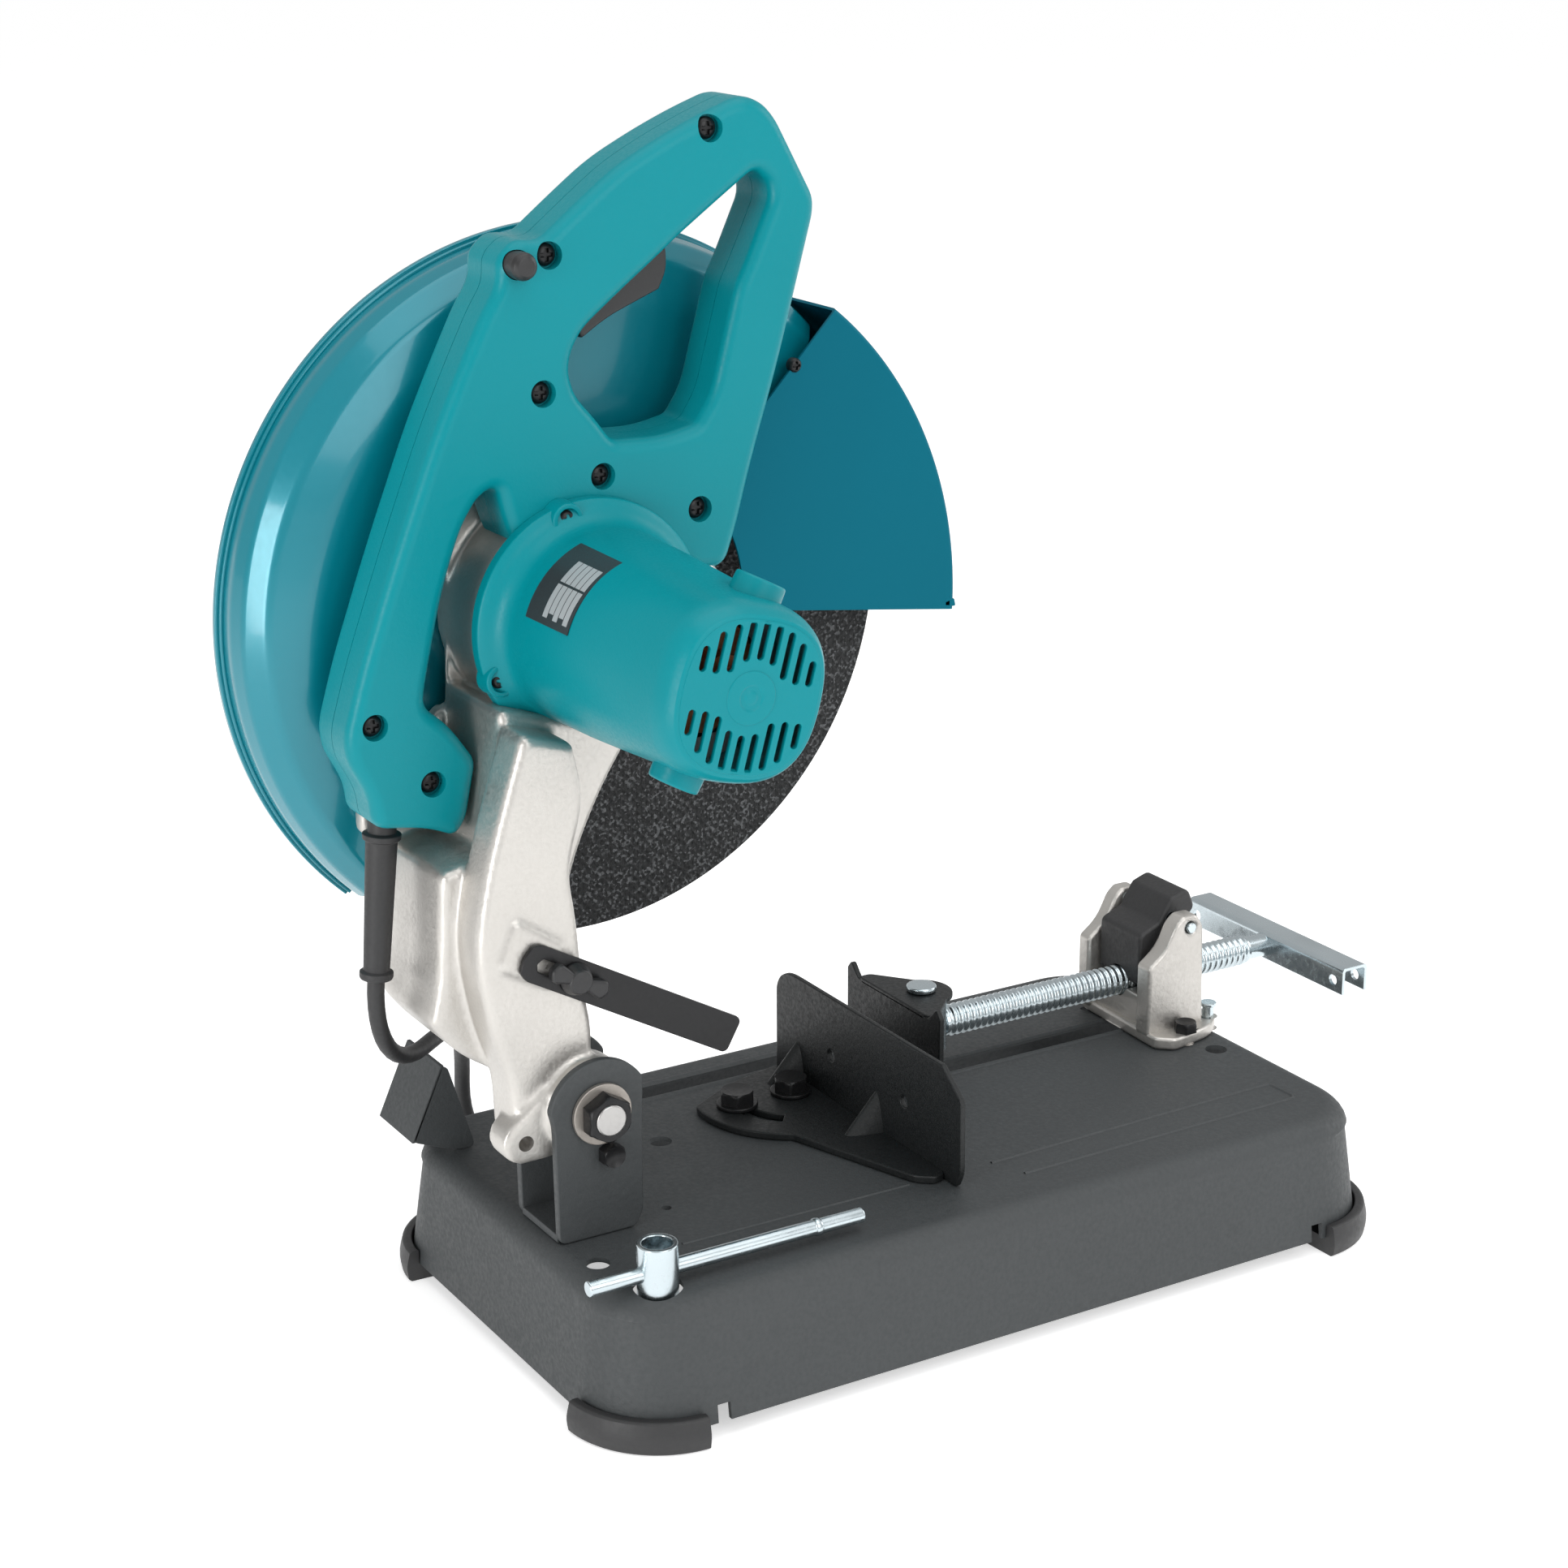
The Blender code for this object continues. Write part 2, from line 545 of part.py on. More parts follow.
def safety_cover():
    """The retractable front cover: it wraps the guard's rim and swings up over it about the spindle.

    Its outer edge runs away from the rim towards the lower end.
    """
    near, far = COVER_WIDE
    outer = [(near, 76), (near, COVER_R), (far, COVER_R), (far, 76)]
    inner = [(far - 1.5, 76), (far - 1.5, COVER_R - 1.5), (near + 1.5, COVER_R - 1.5), (near + 1.5, 76)]
    shell = lathe(outer + inner, "X", (0, WHEEL_Z), 12, COVER_START, COVER_SWEEP)
    for vert in shell.verts:
        y, z = vert.co.y, vert.co.z - WHEEL_Z
        radius = math.hypot(y, z)
        if radius > 100:
            down = (math.degrees(math.atan2(z, y)) % 360 - COVER_START) / COVER_SWEEP
            grown = 1 + COVER_GROWTH * down / radius
            vert.co.y, vert.co.z = y * grown, z * grown + WHEEL_Z
    body = make("safety_cover", shell, TEAL_METAL)
    set_origin(body, (0, 0, WHEEL_Z))


MOTOR_SCREWS = (("motor_screw_top", -14), ("motor_screw_bottom", -112), ("motor_screw_front", 76))


def motor_housing():
    """The plastic motor housing: a flange, a slightly tapered barrel and a slotted end wall."""
    at = (MOTOR_Y, MOTOR_Z)
    profile = [(MOTOR_FRONT, 41.5), (MOTOR_FRONT, 60), (-88, 60), (-93, 52), (-101, 48), (-190, 45.5)]
    profile += [(-224, 44.5), (-232, 42), (MOTOR_END, 38), (MOTOR_END, 0), (-233.5, 0)]
    profile += [(-233.5, 11.3), (-219, 11.3)]
    profile += [(-219, 14.3), (-232.5, 14.3), (-232.5, 38), (-224, 41), (-190, 41.5)]
    housing = make("motor_housing", lathe(profile, "X", at, 32), TEAL)
    lean = 28.0
    for flip in (0, 180):
        spin = turn_about((0, MOTOR_Y, MOTOR_Z), "X", lean + flip)
        boss = rod(MOTOR_Z + 40.3, MOTOR_Z + 51, 12, "Z", (-206.2, MOTOR_Y), 18)
        combine(housing, boss, "UNION", spin)
        combine(housing, rod(MOTOR_Z + 44, MOTOR_Z + 60, 8.9, "Z", (-206, MOTOR_Y), 16), "DIFFERENCE", spin)
    spin = turn_about((0, MOTOR_Y, MOTOR_Z), "X", 14)
    for i in range(-2, 3):
        aside = i * VENT_STEP
        reach = math.sqrt(VENT_REACH**2 - aside**2)
        inner = math.sqrt(max(VENT_HUB**2 - aside**2, 9))
        y = (MOTOR_Y + aside - VENT_WIDTH / 2, MOTOR_Y + aside + VENT_WIDTH / 2)
        for low, high in ((inner, reach), (-reach, -inner)):
            slot = box((MOTOR_END - 2, -231), y, (MOTOR_Z + low, MOTOR_Z + high))
            combine(housing, slot, "DIFFERENCE", spin)
    for name, angle in MOTOR_SCREWS:
        spin = turn_about((0, MOTOR_Y, MOTOR_Z), "X", angle)
        combine(housing, rod(-100, -87.7, 5.4, "X", (MOTOR_Y, MOTOR_Z + 53.5), 12), "DIFFERENCE", spin)
    for name, flip in (("brush_cap_top", 0), ("brush_cap_bottom", 180)):
        spin = turn_about((0, MOTOR_Y, MOTOR_Z), "X", lean + flip)
        profile = [(MOTOR_Z + 44.3, 0), (MOTOR_Z + 44.3, 8.5), (MOTOR_Z + 50, 8.5), (MOTOR_Z + 50, 0)]
        make(name, lathe(profile, "Z", (-206, MOTOR_Y), 16), BLACK, spin)
    label = [(-150, 46.9), (-150, 47.5), (-110, 48.4), (-110, 47.9)]
    make("motor_label", lathe(label, "X", at, 10, 18, 52), ((0.12, 0.13, 0.14), 0.1, 0.4))


def motor_inside():
    at = (MOTOR_Y, MOTOR_Z)
    make("field_stator", ring(-190, -120, 29.7, 40.6, "X", at, 20), STEEL)
    profile = [(-230, 0), (-230, 5), (-213, 5), (-213, 14), (-197, 14), (-197, 6), (-190, 6), (-190, 28.5)]
    profile += [(-120, 28.5), (-120, 6), (-112, 5), (-73, 5), (-72, 5.1), (-58, 5.1), (-58, 0)]
    armature = make("armature", lathe(profile, "X", at, 14), COPPER)
    set_origin(armature, (-150, *at))
    fan = make("cooling_fan", ring(-108, -105, 5.3, 37, "X", at, 24), BLACK)
    for i in range(6):
        blade = box((-105.5, -96), (MOTOR_Y + 14, MOTOR_Y + 36), (MOTOR_Z - 0.8, MOTOR_Z + 0.8))
        combine(fan, blade, "UNION", turn_about((0, *at), "X", i * 60))
    set_origin(fan, (-105, *at))
    make("armature_bearing_front", ring(-82.5, -73.3, 5.3, 12.9, "X", at, 16), STEEL)
    make("armature_bearing_rear", ring(-229, -219.5, 5.3, 10.9, "X", at, 16), STEEL)
    for name, angle in MOTOR_SCREWS:
        profile = [(-92, 0), (-92, 4.6), (-88, 4.6), (-88, 0)]
        screw = lathe(profile, "X", (MOTOR_Y, MOTOR_Z + 53.5), 12)
        make(name, screw, BLACK, turn_about((0, *at), "X", angle))


def spindle_set():
    """The wheel spindle with its bearings, gear, flanges, wheel and clamping bolt."""
    at = (0.0, WHEEL_Z)
    shaft = [(-75, 0), (-75, 8), (-8, 8), (-7.5, 14), (-6.3, 14), (-6.3, 12.4), (1.5, 12.4), (1.5, 5.3)]
    shaft += [(-16, 5.3), (-16, 0)]
    pieces = [make("spindle", lathe(shaft, "X", at, 20), STEEL)]
    make("spindle_bearing_rear", ring(-56.5, -45.5, 8.3, 16, "X", at), STEEL)
    make("spindle_bearing_front", ring(-20.5, -9.5, 8.3, 16, "X", at), STEEL)
    pieces.append(make("spindle_gear", gear(-72, -58, 8.3, 30.4, 32.0, 44), STEEL))
    pieces.append(make("inner_flange", ring(-6, -WHEEL_T / 2 - GAP, ARBOR_R, 40, "X", at, 28), STEEL))
    pieces.append(make("cutting_wheel", ring(-WHEEL_T / 2, WHEEL_T / 2, ARBOR_R, WHEEL_R, "X", at, 64), GRIT))
    pieces.append(make("outer_flange", ring(WHEEL_T / 2 + GAP, 6, 5.3, 40, "X", at, 28), STEEL))
    bolt = make("wheel_bolt", rod(-12, 7, 5, "X", at, 14), BLACK)
    join(bolt, hexagon(6.3, 13.5, 10, "X", at))
    pieces.append(bolt)
    for piece in pieces:
        set_origin(piece, (0, 0, WHEEL_Z))


def gear(low, high, bore, root, tip, teeth):
    """A spur gear disc about the spindle."""
    bm = bmesh.new()
    ends = []
    for along in (low, high):
        rim, hole = [], []
        for i in range(teeth * 2):
            angle = math.pi * i / teeth
            radius = tip if i % 2 else root
            out = Vector((0, math.cos(angle), math.sin(angle)))
            centre = Vector((along, 0, WHEEL_Z))
            rim.append(bm.verts.new(centre + out * radius))
            hole.append(bm.verts.new(centre + out * bore))
        ends.append((rim, hole))
    count = teeth * 2
    for i in range(count):
        j = (i + 1) % count
        (rim0, hole0), (rim1, hole1) = ends
        bm.faces.new([rim0[i], rim0[j], rim1[j], rim1[i]])
        bm.faces.new([hole0[j], hole0[i], hole1[i], hole1[j]])
        bm.faces.new([rim0[j], rim0[i], hole0[i], hole0[j]])
        bm.faces.new([rim1[i], rim1[j], hole1[j], hole1[i]])
    return bm


RELIEF_TILT = turn_about((-62, 136.5, WHEEL_Z - 80), "X", 5)

HANDLE = [
    (53, 191), (31, 208), (12, 222), (-12, 234), (-33, 243), (-53, 250), (-64, 247), (-72, 239), (-82, 221),
    (-93, 201), (-93, 193), (-82, 154), (-72, 119), (-58, 77), (-49, 45), (-42, 26), (60, 26), (75, 62),
    (79, 80), (88, 76), (97, 63), (108, 34), (118, -8), (120, -20), (107, -31), (94, -50), (100, -78),
    (106, -86), (117, -81), (124, -79), (148, -75), (149, -60), (159, -41), (160, -29), (151, 1), (132, 52),
    (114, 96), (108, 110), (96, 135), (83, 160), (75, 172), (75, 184), (66, 192),
]
LOOP = [
    (-19, 187), (-42, 203), (-61, 216), (-68, 209), (-69, 201), (-55, 171), (-50, 162), (-36, 111), (-27, 98),
    (-9, 94), (18, 95), (28, 108), (37, 118), (40, 130), (38, 139), (32, 148.5), (12, 164),
    (-8, 178.5),
]


def handles():
    """The two plastic handle halves that meet on the x = -62 plane, hollowed for the switch."""
    for name, low, high in (("handle_near", -81.7, -62.15), ("handle_far", -61.85, -42.0)):
        half = make(name, prism(outline_w(HANDLE), low, high, "X"), TEAL)
        cut(half, prism(outline_w(LOOP), -90, -30, "X"))
        cut(half, rod(-90, -30, 55.6, "X", (MOTOR_Y, MOTOR_Z), 32))
        cut(half, rod(-90, -30, 47, "X", (0, WHEEL_Z), 30))
        inside = outline_w([(-2, 158), (40, 142), (52, 158), (22, 190), (4, 196)])
        cut(half, prism(inside, -72, -52, "X"))
        trigger_way = [(-14, 150), (32, 130), (41, 150), (16, 171), (-4, 190), (-21, 198), (-24, 180)]
        cut(half, prism(outline_w(trigger_way), -70.3, -53.7, "X"))
        relief_way = rod(WHEEL_Z - 90, WHEEL_Z - 54, 7.3, "Z", (-62.4, 136.5), 16)
        combine(half, relief_way, "DIFFERENCE", RELIEF_TILT)
        if name == "handle_near":
            cut(half, rod(-90, -60, 6.8, "X", w(66, 181), 16))


def controls():
    trigger_side = [(30, 146.5), (12, 162.3), (-8, 176.5), (-17, 183), (-17.5, 171)]
    trigger_side += [(-13, 162), (15, 151), (29, 142)]
    trigger = make("trigger", prism(outline_w(trigger_side), -70, -54, "X"), BLACK)
    set_origin(trigger, (-62, *w(29, 144)))
    profile = [(-91, 0), (-90, 5), (-88, 6.5), (-67, 6.5), (-67, 0)]
    button = make("lock_button", lathe(profile, "X", w(66, 181), 16), BLACK)
    set_origin(button, (-80, *w(66, 181)))
    body = outline_w([(8, 175), (44, 152), (49, 160), (22, 186), (10, 190)])
    make("switch_body", prism(body, -71.5, -52.5, "X"), BLACK)


def stop_plate():
    """The depth-stop bar on the arm, its slot, and the wing bolt that clamps it."""
    along = Vector((0, -0.873, -0.488))
    across = Vector((0, -0.488, 0.873))
    head = Vector((0, 72, WHEEL_Z - 147))

    def at(a, c):
        point = head + along * a + across * c
        return (point.y, point.z)

    bar = [at(-28, -7), at(-30, 0), at(-28, 7), at(-24, 9.4), at(97, 9.4), at(99, 7.5)]
    bar += [at(99, -7.5), at(97, -9.4), at(-24, -9.4)]
    plate = make("stop_plate", prism(bar, -131.4, -128.7, "X"), BLACK)
    slot = [at(-20, -3.4), at(-22, 0), at(-20, 3.4), at(4, 3.4), at(6, 0), at(4, -3.4)]
    cut(plate, prism(slot, -135, -125, "X"))
    profile = [(-117, 0), (-117, 2.9), (-131.7, 2.9), (-131.7, 8), (-133, 8)]
    profile += [(-138, 6), (-139, 6), (-139, 0)]
    bolt = make("wing_bolt", lathe(profile, "X", (72, WHEEL_Z - 147), 16), BLACK)
    for side in (1, -1):
        y0, z0 = at(4 * side, 0)
        wing = [at(3 * side, 2), at(15 * side, 4.5), at(16.5 * side, 0), at(15 * side, -4.5)]
        wing.append(at(3 * side, -2))
        join(bolt, prism(wing if side > 0 else list(reversed(wing)), -138.5, -132.2, "X"))
    set_origin(bolt, (-130, 72, WHEEL_Z - 147))


def bezier(a, b, c, d, steps):
    points = []
    for i in range(1, steps + 1):
        t = i / steps
        p = a * (1 - t) ** 3 + b * 3 * t * (1 - t) ** 2 + c * 3 * t * t * (1 - t) + d * t**3
        points.append(p)
    return points


def cord_set():
    """Relief sleeve, the loose run to the floor, the spare turns as one ring, and the plug."""
    top, low = w(136.5, -80)[1], w(143, -156)[1]
    sleeve = [(low, 4.6), (low, 8.2), (low + 4, 8.2), (low + 4.5, 6.4), (top - 6, 7.6)]
    sleeve += [(top - 6, 9.4), (top - 3, 9.4), (top - 3, 6.9), (top + 20, 6.9), (top + 20, 4.6)]
    make("cord_relief", lathe(sleeve, "Z", (-62, 136.5), 14), RUBBER, RELIEF_TILT)
    start = Vector((-62, 143.3, low - 0.3))
    behind_arm = Vector((-30, 106, 141))
    beside_base = Vector((70, 40, 70))
    floor = Vector((78, -20, CORD_R + 0.4))
    end = Vector((COIL_AT[0] - COIL_R - COIL_HALF - CORD_R - GAP, COIL_AT[1], CORD_R + 0.4))
    points = [start]
    points += bezier(start, Vector((-62, 146.3, 165)), Vector((-55, 134, 143)), behind_arm, 5)
    points += bezier(behind_arm, Vector((0, 73, 139)), Vector((62, 42, 110)), beside_base, 7)
    points += bezier(beside_base, Vector((77, 38, 35)), Vector((80, 20, floor.z)), floor, 6)
    points += bezier(floor, floor + Vector((-2, -45, 0)), end + Vector((0, 62, 0)), end, 10)
    curve = bpy.data.curves.new("cord_tube", "CURVE")
    curve.dimensions = "3D"
    curve.bevel_depth = CORD_R * MM
    curve.bevel_resolution = 2
    curve.use_fill_caps = True
    spline = curve.splines.new("POLY")
    spline.points.add(len(points) - 1)
    for target, point in zip(spline.points, points):
        target.co = (*(point * MM), 1.0)
    tube = bpy.data.objects.new("cord_tube", curve)
    bpy.context.scene.collection.objects.link(tube)
    paint(tube, *RUBBER)
    inner, outer = COIL_R - COIL_HALF, COIL_R + COIL_HALF
    coil = [(GAP, inner + 1.5), (GAP, outer - 1.5), (GAP + 1.5, outer), (COIL_TOP - 1.5, outer)]
    coil += [(COIL_TOP, outer - 1.5), (COIL_TOP, inner + 1.5), (COIL_TOP - 1.5, inner), (GAP + 1.5, inner)]
    make("cord_coil", lathe(coil, "Z", COIL_AT, 26), RUBBER)
    body = rounded_rect((PLUG_X - 15, PLUG_X + 15), (0.4, 16.9), 5, 3)
    plug = make("cord_plug", prism(body, PLUG_BACK, PLUG_BACK + 34, "Y"), RUBBER)
    for x in (-9.5, 9.5):
        join(plug, rod(PLUG_BACK + 33, PLUG_BACK + 52, 2.4, "Y", (PLUG_X + x, 8.6), 10))


def centre_footprint():
    """Moves everything so the origin is the bottom middle of the saw's own box, the cord left out."""
    bpy.context.view_layer.update()
    low = Vector((1e9, 1e9, 1e9))
    high = Vector((-1e9, -1e9, -1e9))
    for obj in bpy.data.objects:
        if obj.name.startswith("cord_"):
            continue
        for corner in obj.bound_box:
            point = obj.matrix_world @ Vector(corner)
            low = Vector(map(min, low, point))
            high = Vector(map(max, high, point))
    shift = Vector(((low.x + high.x) / 2, (low.y + high.y) / 2, low.z))
    for obj in bpy.data.objects:
        obj.location -= shift


def smooth():
    for obj in bpy.data.objects:
        if obj.type == "MESH":
            obj.data.shade_smooth()
            obj.data.set_sharp_from_angle(angle=math.radians(32))


clear_scene()
base_shell()
feet()
hinge_bracket()
hinge_hardware()
return_spring()
spark_plate()
guide()
vise_bracket()
half_nut_lever()
vise_screw()
vise_jaw()
loose_tools()
head_arm()
guard()
safety_cover()
motor_housing()
motor_inside()
spindle_set()
handles()
controls()
stop_plate()
cord_set()
smooth()
centre_footprint()
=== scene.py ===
import json
import math

import bmesh
import bpy
import numpy as np
from mathutils import Matrix, Vector

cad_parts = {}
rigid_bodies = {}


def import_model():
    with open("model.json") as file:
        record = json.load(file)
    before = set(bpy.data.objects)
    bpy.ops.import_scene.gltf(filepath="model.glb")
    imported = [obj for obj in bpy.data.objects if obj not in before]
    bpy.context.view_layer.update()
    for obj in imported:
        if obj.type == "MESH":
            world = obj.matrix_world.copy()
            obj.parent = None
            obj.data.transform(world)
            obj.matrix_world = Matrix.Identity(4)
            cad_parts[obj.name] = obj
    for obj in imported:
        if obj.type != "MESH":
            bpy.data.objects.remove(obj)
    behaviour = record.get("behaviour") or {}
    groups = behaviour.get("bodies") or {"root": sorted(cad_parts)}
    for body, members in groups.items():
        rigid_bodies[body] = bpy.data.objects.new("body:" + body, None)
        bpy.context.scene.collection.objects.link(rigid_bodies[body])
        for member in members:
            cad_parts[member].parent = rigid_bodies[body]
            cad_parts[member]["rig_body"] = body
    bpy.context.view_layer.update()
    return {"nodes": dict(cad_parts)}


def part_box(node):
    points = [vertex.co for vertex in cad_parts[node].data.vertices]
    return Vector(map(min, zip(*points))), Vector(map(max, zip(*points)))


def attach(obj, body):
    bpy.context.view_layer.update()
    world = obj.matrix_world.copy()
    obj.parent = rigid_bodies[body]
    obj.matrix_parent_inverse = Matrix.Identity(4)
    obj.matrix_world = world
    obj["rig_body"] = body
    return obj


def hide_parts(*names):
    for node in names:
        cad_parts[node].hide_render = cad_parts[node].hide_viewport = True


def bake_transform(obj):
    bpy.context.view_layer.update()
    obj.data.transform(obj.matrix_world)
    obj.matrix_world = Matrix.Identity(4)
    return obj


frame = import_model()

# ---- Place of things
# Sizes are millimetres: x from the cutting wheel's plane, y from its centre, z above the floor.
# The wheel's own CAD box says where that is in the frame, so nothing is fitted by eye.
wheel_low, wheel_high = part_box("cutting_wheel")
AXLE = (wheel_low + wheel_high) / 2
AXLE_Z = 352.0


def place(points):
    """Millimetres about the wheel to metres in the frame: a scale of 0.001, then a shift."""
    return np.asarray(points, float) * 0.001 + np.array([AXLE.x, AXLE.y, 0.0])


def w(points):
    """(y, z) pairs measured from the wheel's centre, as (y, z) above the floor."""
    return [(y, AXLE_Z + z) for y, z in points]


# ---- Camera, floor and studio light
# A long lens a little above the head, from the motor side and behind. Big soft boxes stand
# overhead, beside the lens and behind the guard; the floor and the backdrop are plain and pale.
camera = bpy.data.objects.new("camera", bpy.data.cameras.new("camera"))
bpy.context.scene.collection.objects.link(camera)
camera.data.lens = 70.62
camera.data.sensor_width = 36.0
camera.data.clip_start = 0.05
turn = Matrix.Rotation(math.radians(238.94), 4, "Z") @ Matrix.Rotation(math.radians(71.97), 4, "X")
turn = turn @ Matrix.Rotation(math.radians(-0.2), 4, "Z")
camera.matrix_world = Matrix.Translation(AXLE + Vector((-1.3383, 0.6835, 0.3880))) @ turn
bpy.context.scene.camera = camera
bpy.context.scene.view_settings.view_transform = "Standard"


def soft_box(name, at, aim, width, height, power):
    lamp = bpy.data.lights.new(name, "AREA")
    lamp.shape = "RECTANGLE"
    lamp.size, lamp.size_y, lamp.energy = width, height, power
    holder = bpy.data.objects.new(name, lamp)
    bpy.context.scene.collection.objects.link(holder)
    centre = AXLE + Vector(at)
    facing = (AXLE + Vector(aim) - centre).to_track_quat("-Z", "Y")
    holder.matrix_world = Matrix.Translation(centre) @ facing.to_matrix().to_4x4()


soft_box("light_top", (-0.3, -0.1, 1.9), (0.0, -0.1, -0.2), 2.2, 2.2, 22.0)
soft_box("light_lens", (-2.2, -0.3, 1.0), (0.0, 0.0, -0.1), 1.6, 1.6, 19.0)
soft_box("light_shoulder", (-0.75, 1.9, -0.05), (0.0, 0.0, 0.0), 0.5, 1.5, 22.0)
soft_box("light_front", (-0.6, -2.2, 0.7), (0.0, -0.1, -0.2), 1.2, 1.4, 12.0)

world = bpy.data.worlds.new("studio")
bpy.context.scene.world = world
world.use_nodes = True
sky = world.node_tree
backdrop = sky.nodes["Background"]
backdrop.inputs["Color"].default_value = (1.0, 1.0, 1.0, 1.0)
seen = sky.nodes.new("ShaderNodeLightPath")
level = sky.nodes.new("ShaderNodeMapRange")
level.inputs["To Min"].default_value = 0.55
level.inputs["To Max"].default_value = 1.0
sky.links.new(seen.outputs["Is Camera Ray"], level.inputs["Value"])
sky.links.new(level.outputs["Result"], backdrop.inputs["Strength"])


def new_material(name, roughness, metallic):
    material = bpy.data.materials.new(name)
    material.use_nodes = True
    shader = material.node_tree.nodes["Principled BSDF"]
    shader.inputs["Roughness"].default_value = roughness
    shader.inputs["Metallic"].default_value = metallic
    return material, material.node_tree, shader


def surface(points, around=True, loop=False, caps=True):
    """A mesh through a grid of points: rows along the piece, columns round it. Each face joins
    point (i, j) to its next column and next row; `around` and `loop` close the two ways."""
    points = np.asarray(points, float)
    rows, cols = points.shape[:2]
    i = np.arange(rows if loop else rows - 1)[:, None]
    j = np.arange(cols if around else cols - 1)[None, :]
    here, there = i * cols, (i + 1) % rows * cols
    after = (j + 1) % cols
    faces = np.stack([here + j, here + after, there + after, there + j], -1).reshape(-1, 4).tolist()
    if caps and around and not loop:
        faces.append(list(range(cols))[::-1])
        faces.append(list(range((rows - 1) * cols, rows * cols)))
    mesh = bpy.data.meshes.new("surface")
    mesh.from_pydata(points.reshape(-1, 3), [], faces)
    bm = bmesh.new()
    bm.from_mesh(mesh)
    bmesh.ops.remove_doubles(bm, verts=bm.verts, dist=0.0005)
    bmesh.ops.recalc_face_normals(bm, faces=bm.faces)
    bm.to_mesh(mesh)
    bm.free()
    return mesh


def gather(parts):
    """Several millimetre meshes as one."""
    bm = bmesh.new()
    for mesh in parts:
        bm.from_mesh(mesh)
    whole = bpy.data.meshes.new("whole")
    bm.to_mesh(whole)
    bm.free()
    return whole


def piece(name, body, stands_for, parts, material, angle=40.0, level_normals=True):
    """One finished piece: its parts joined, moved into the frame, and hung on its CAD body."""
    mesh = gather(parts)
    mesh.name = name
    at = np.empty(len(mesh.vertices) * 3)
    mesh.vertices.foreach_get("co", at)
    mesh.vertices.foreach_set("co", place(at.reshape(-1, 3)).ravel())
    mesh.materials.clear()
    mesh.materials.append(material)
    mesh.polygons.foreach_set("material_index", np.zeros(len(mesh.polygons), int))
    mesh.shade_smooth()
    mesh.set_sharp_from_angle(angle=math.radians(angle))
    obj = bpy.data.objects.new(name, mesh)
    bpy.context.scene.collection.objects.link(obj)
    if level_normals:
        obj.modifiers.new("level", "WEIGHTED_NORMAL").keep_sharp = True
    if body is not None:
        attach(obj, body)
    if stands_for:
        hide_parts(*stands_for)
    return obj


floor_paint, floor_tree, floor_shader = new_material("floor_paper", 0.9, 0.0)
floor_shader.inputs["Base Color"].default_value = (0.9, 0.9, 0.9, 1.0)
floor_shader.inputs["Specular IOR Level"].default_value = 0.0
floor_shader.inputs["Emission Color"].default_value = (1.0, 1.0, 1.0, 1.0)
floor_shader.inputs["Emission Strength"].default_value = 0.5
floor_side = np.linspace(-30000.0, 30000.0, 13)
floor_grid = np.stack(np.meshgrid(floor_side, floor_side, [0.0], indexing="ij"), -1)[:, :, 0]
floor = piece("floor", None, (), [surface(floor_grid, around=False)], floor_paint)

# ---- Mains cord
# An 8.5 mm rubber-sheathed lead, 2.27 m long. It leaves the handle through a tapered relief
# sleeve, drops behind the arm, lies along the far side and is wound into one neat coil of two
# layers, three turns each. Its moulded plug lies by the coil.
# Its rubber, like every later paint, plastic and casting, takes a fine grain and a slow cloudy
# change from one node group; each material picks the sizes and how strongly they show.
cloud = bpy.data.node_groups.new("grain_and_cloud", "ShaderNodeTree")
for label in ("Grain Scale", "Cloud Scale"):
    cloud.interface.new_socket(label, in_out="INPUT", socket_type="NodeSocketFloat")
for label in ("Grain", "Cloud"):
    cloud.interface.new_socket(label, in_out="OUTPUT", socket_type="NodeSocketFloat")
entry = cloud.nodes.new("NodeGroupInput")
leave = cloud.nodes.new("NodeGroupOutput")
where = cloud.nodes.new("ShaderNodeTexCoord")
for label, detail in (("Grain", 3.0), ("Cloud", 2.0)):
    noise = cloud.nodes.new("ShaderNodeTexNoise")
    noise.inputs["Detail"].default_value = detail
    cloud.links.new(where.outputs["Object"], noise.inputs["Vector"])
    cloud.links.new(entry.outputs[label + " Scale"], noise.inputs["Scale"])
    cloud.links.new(noise.outputs["Fac"], leave.inputs[label])


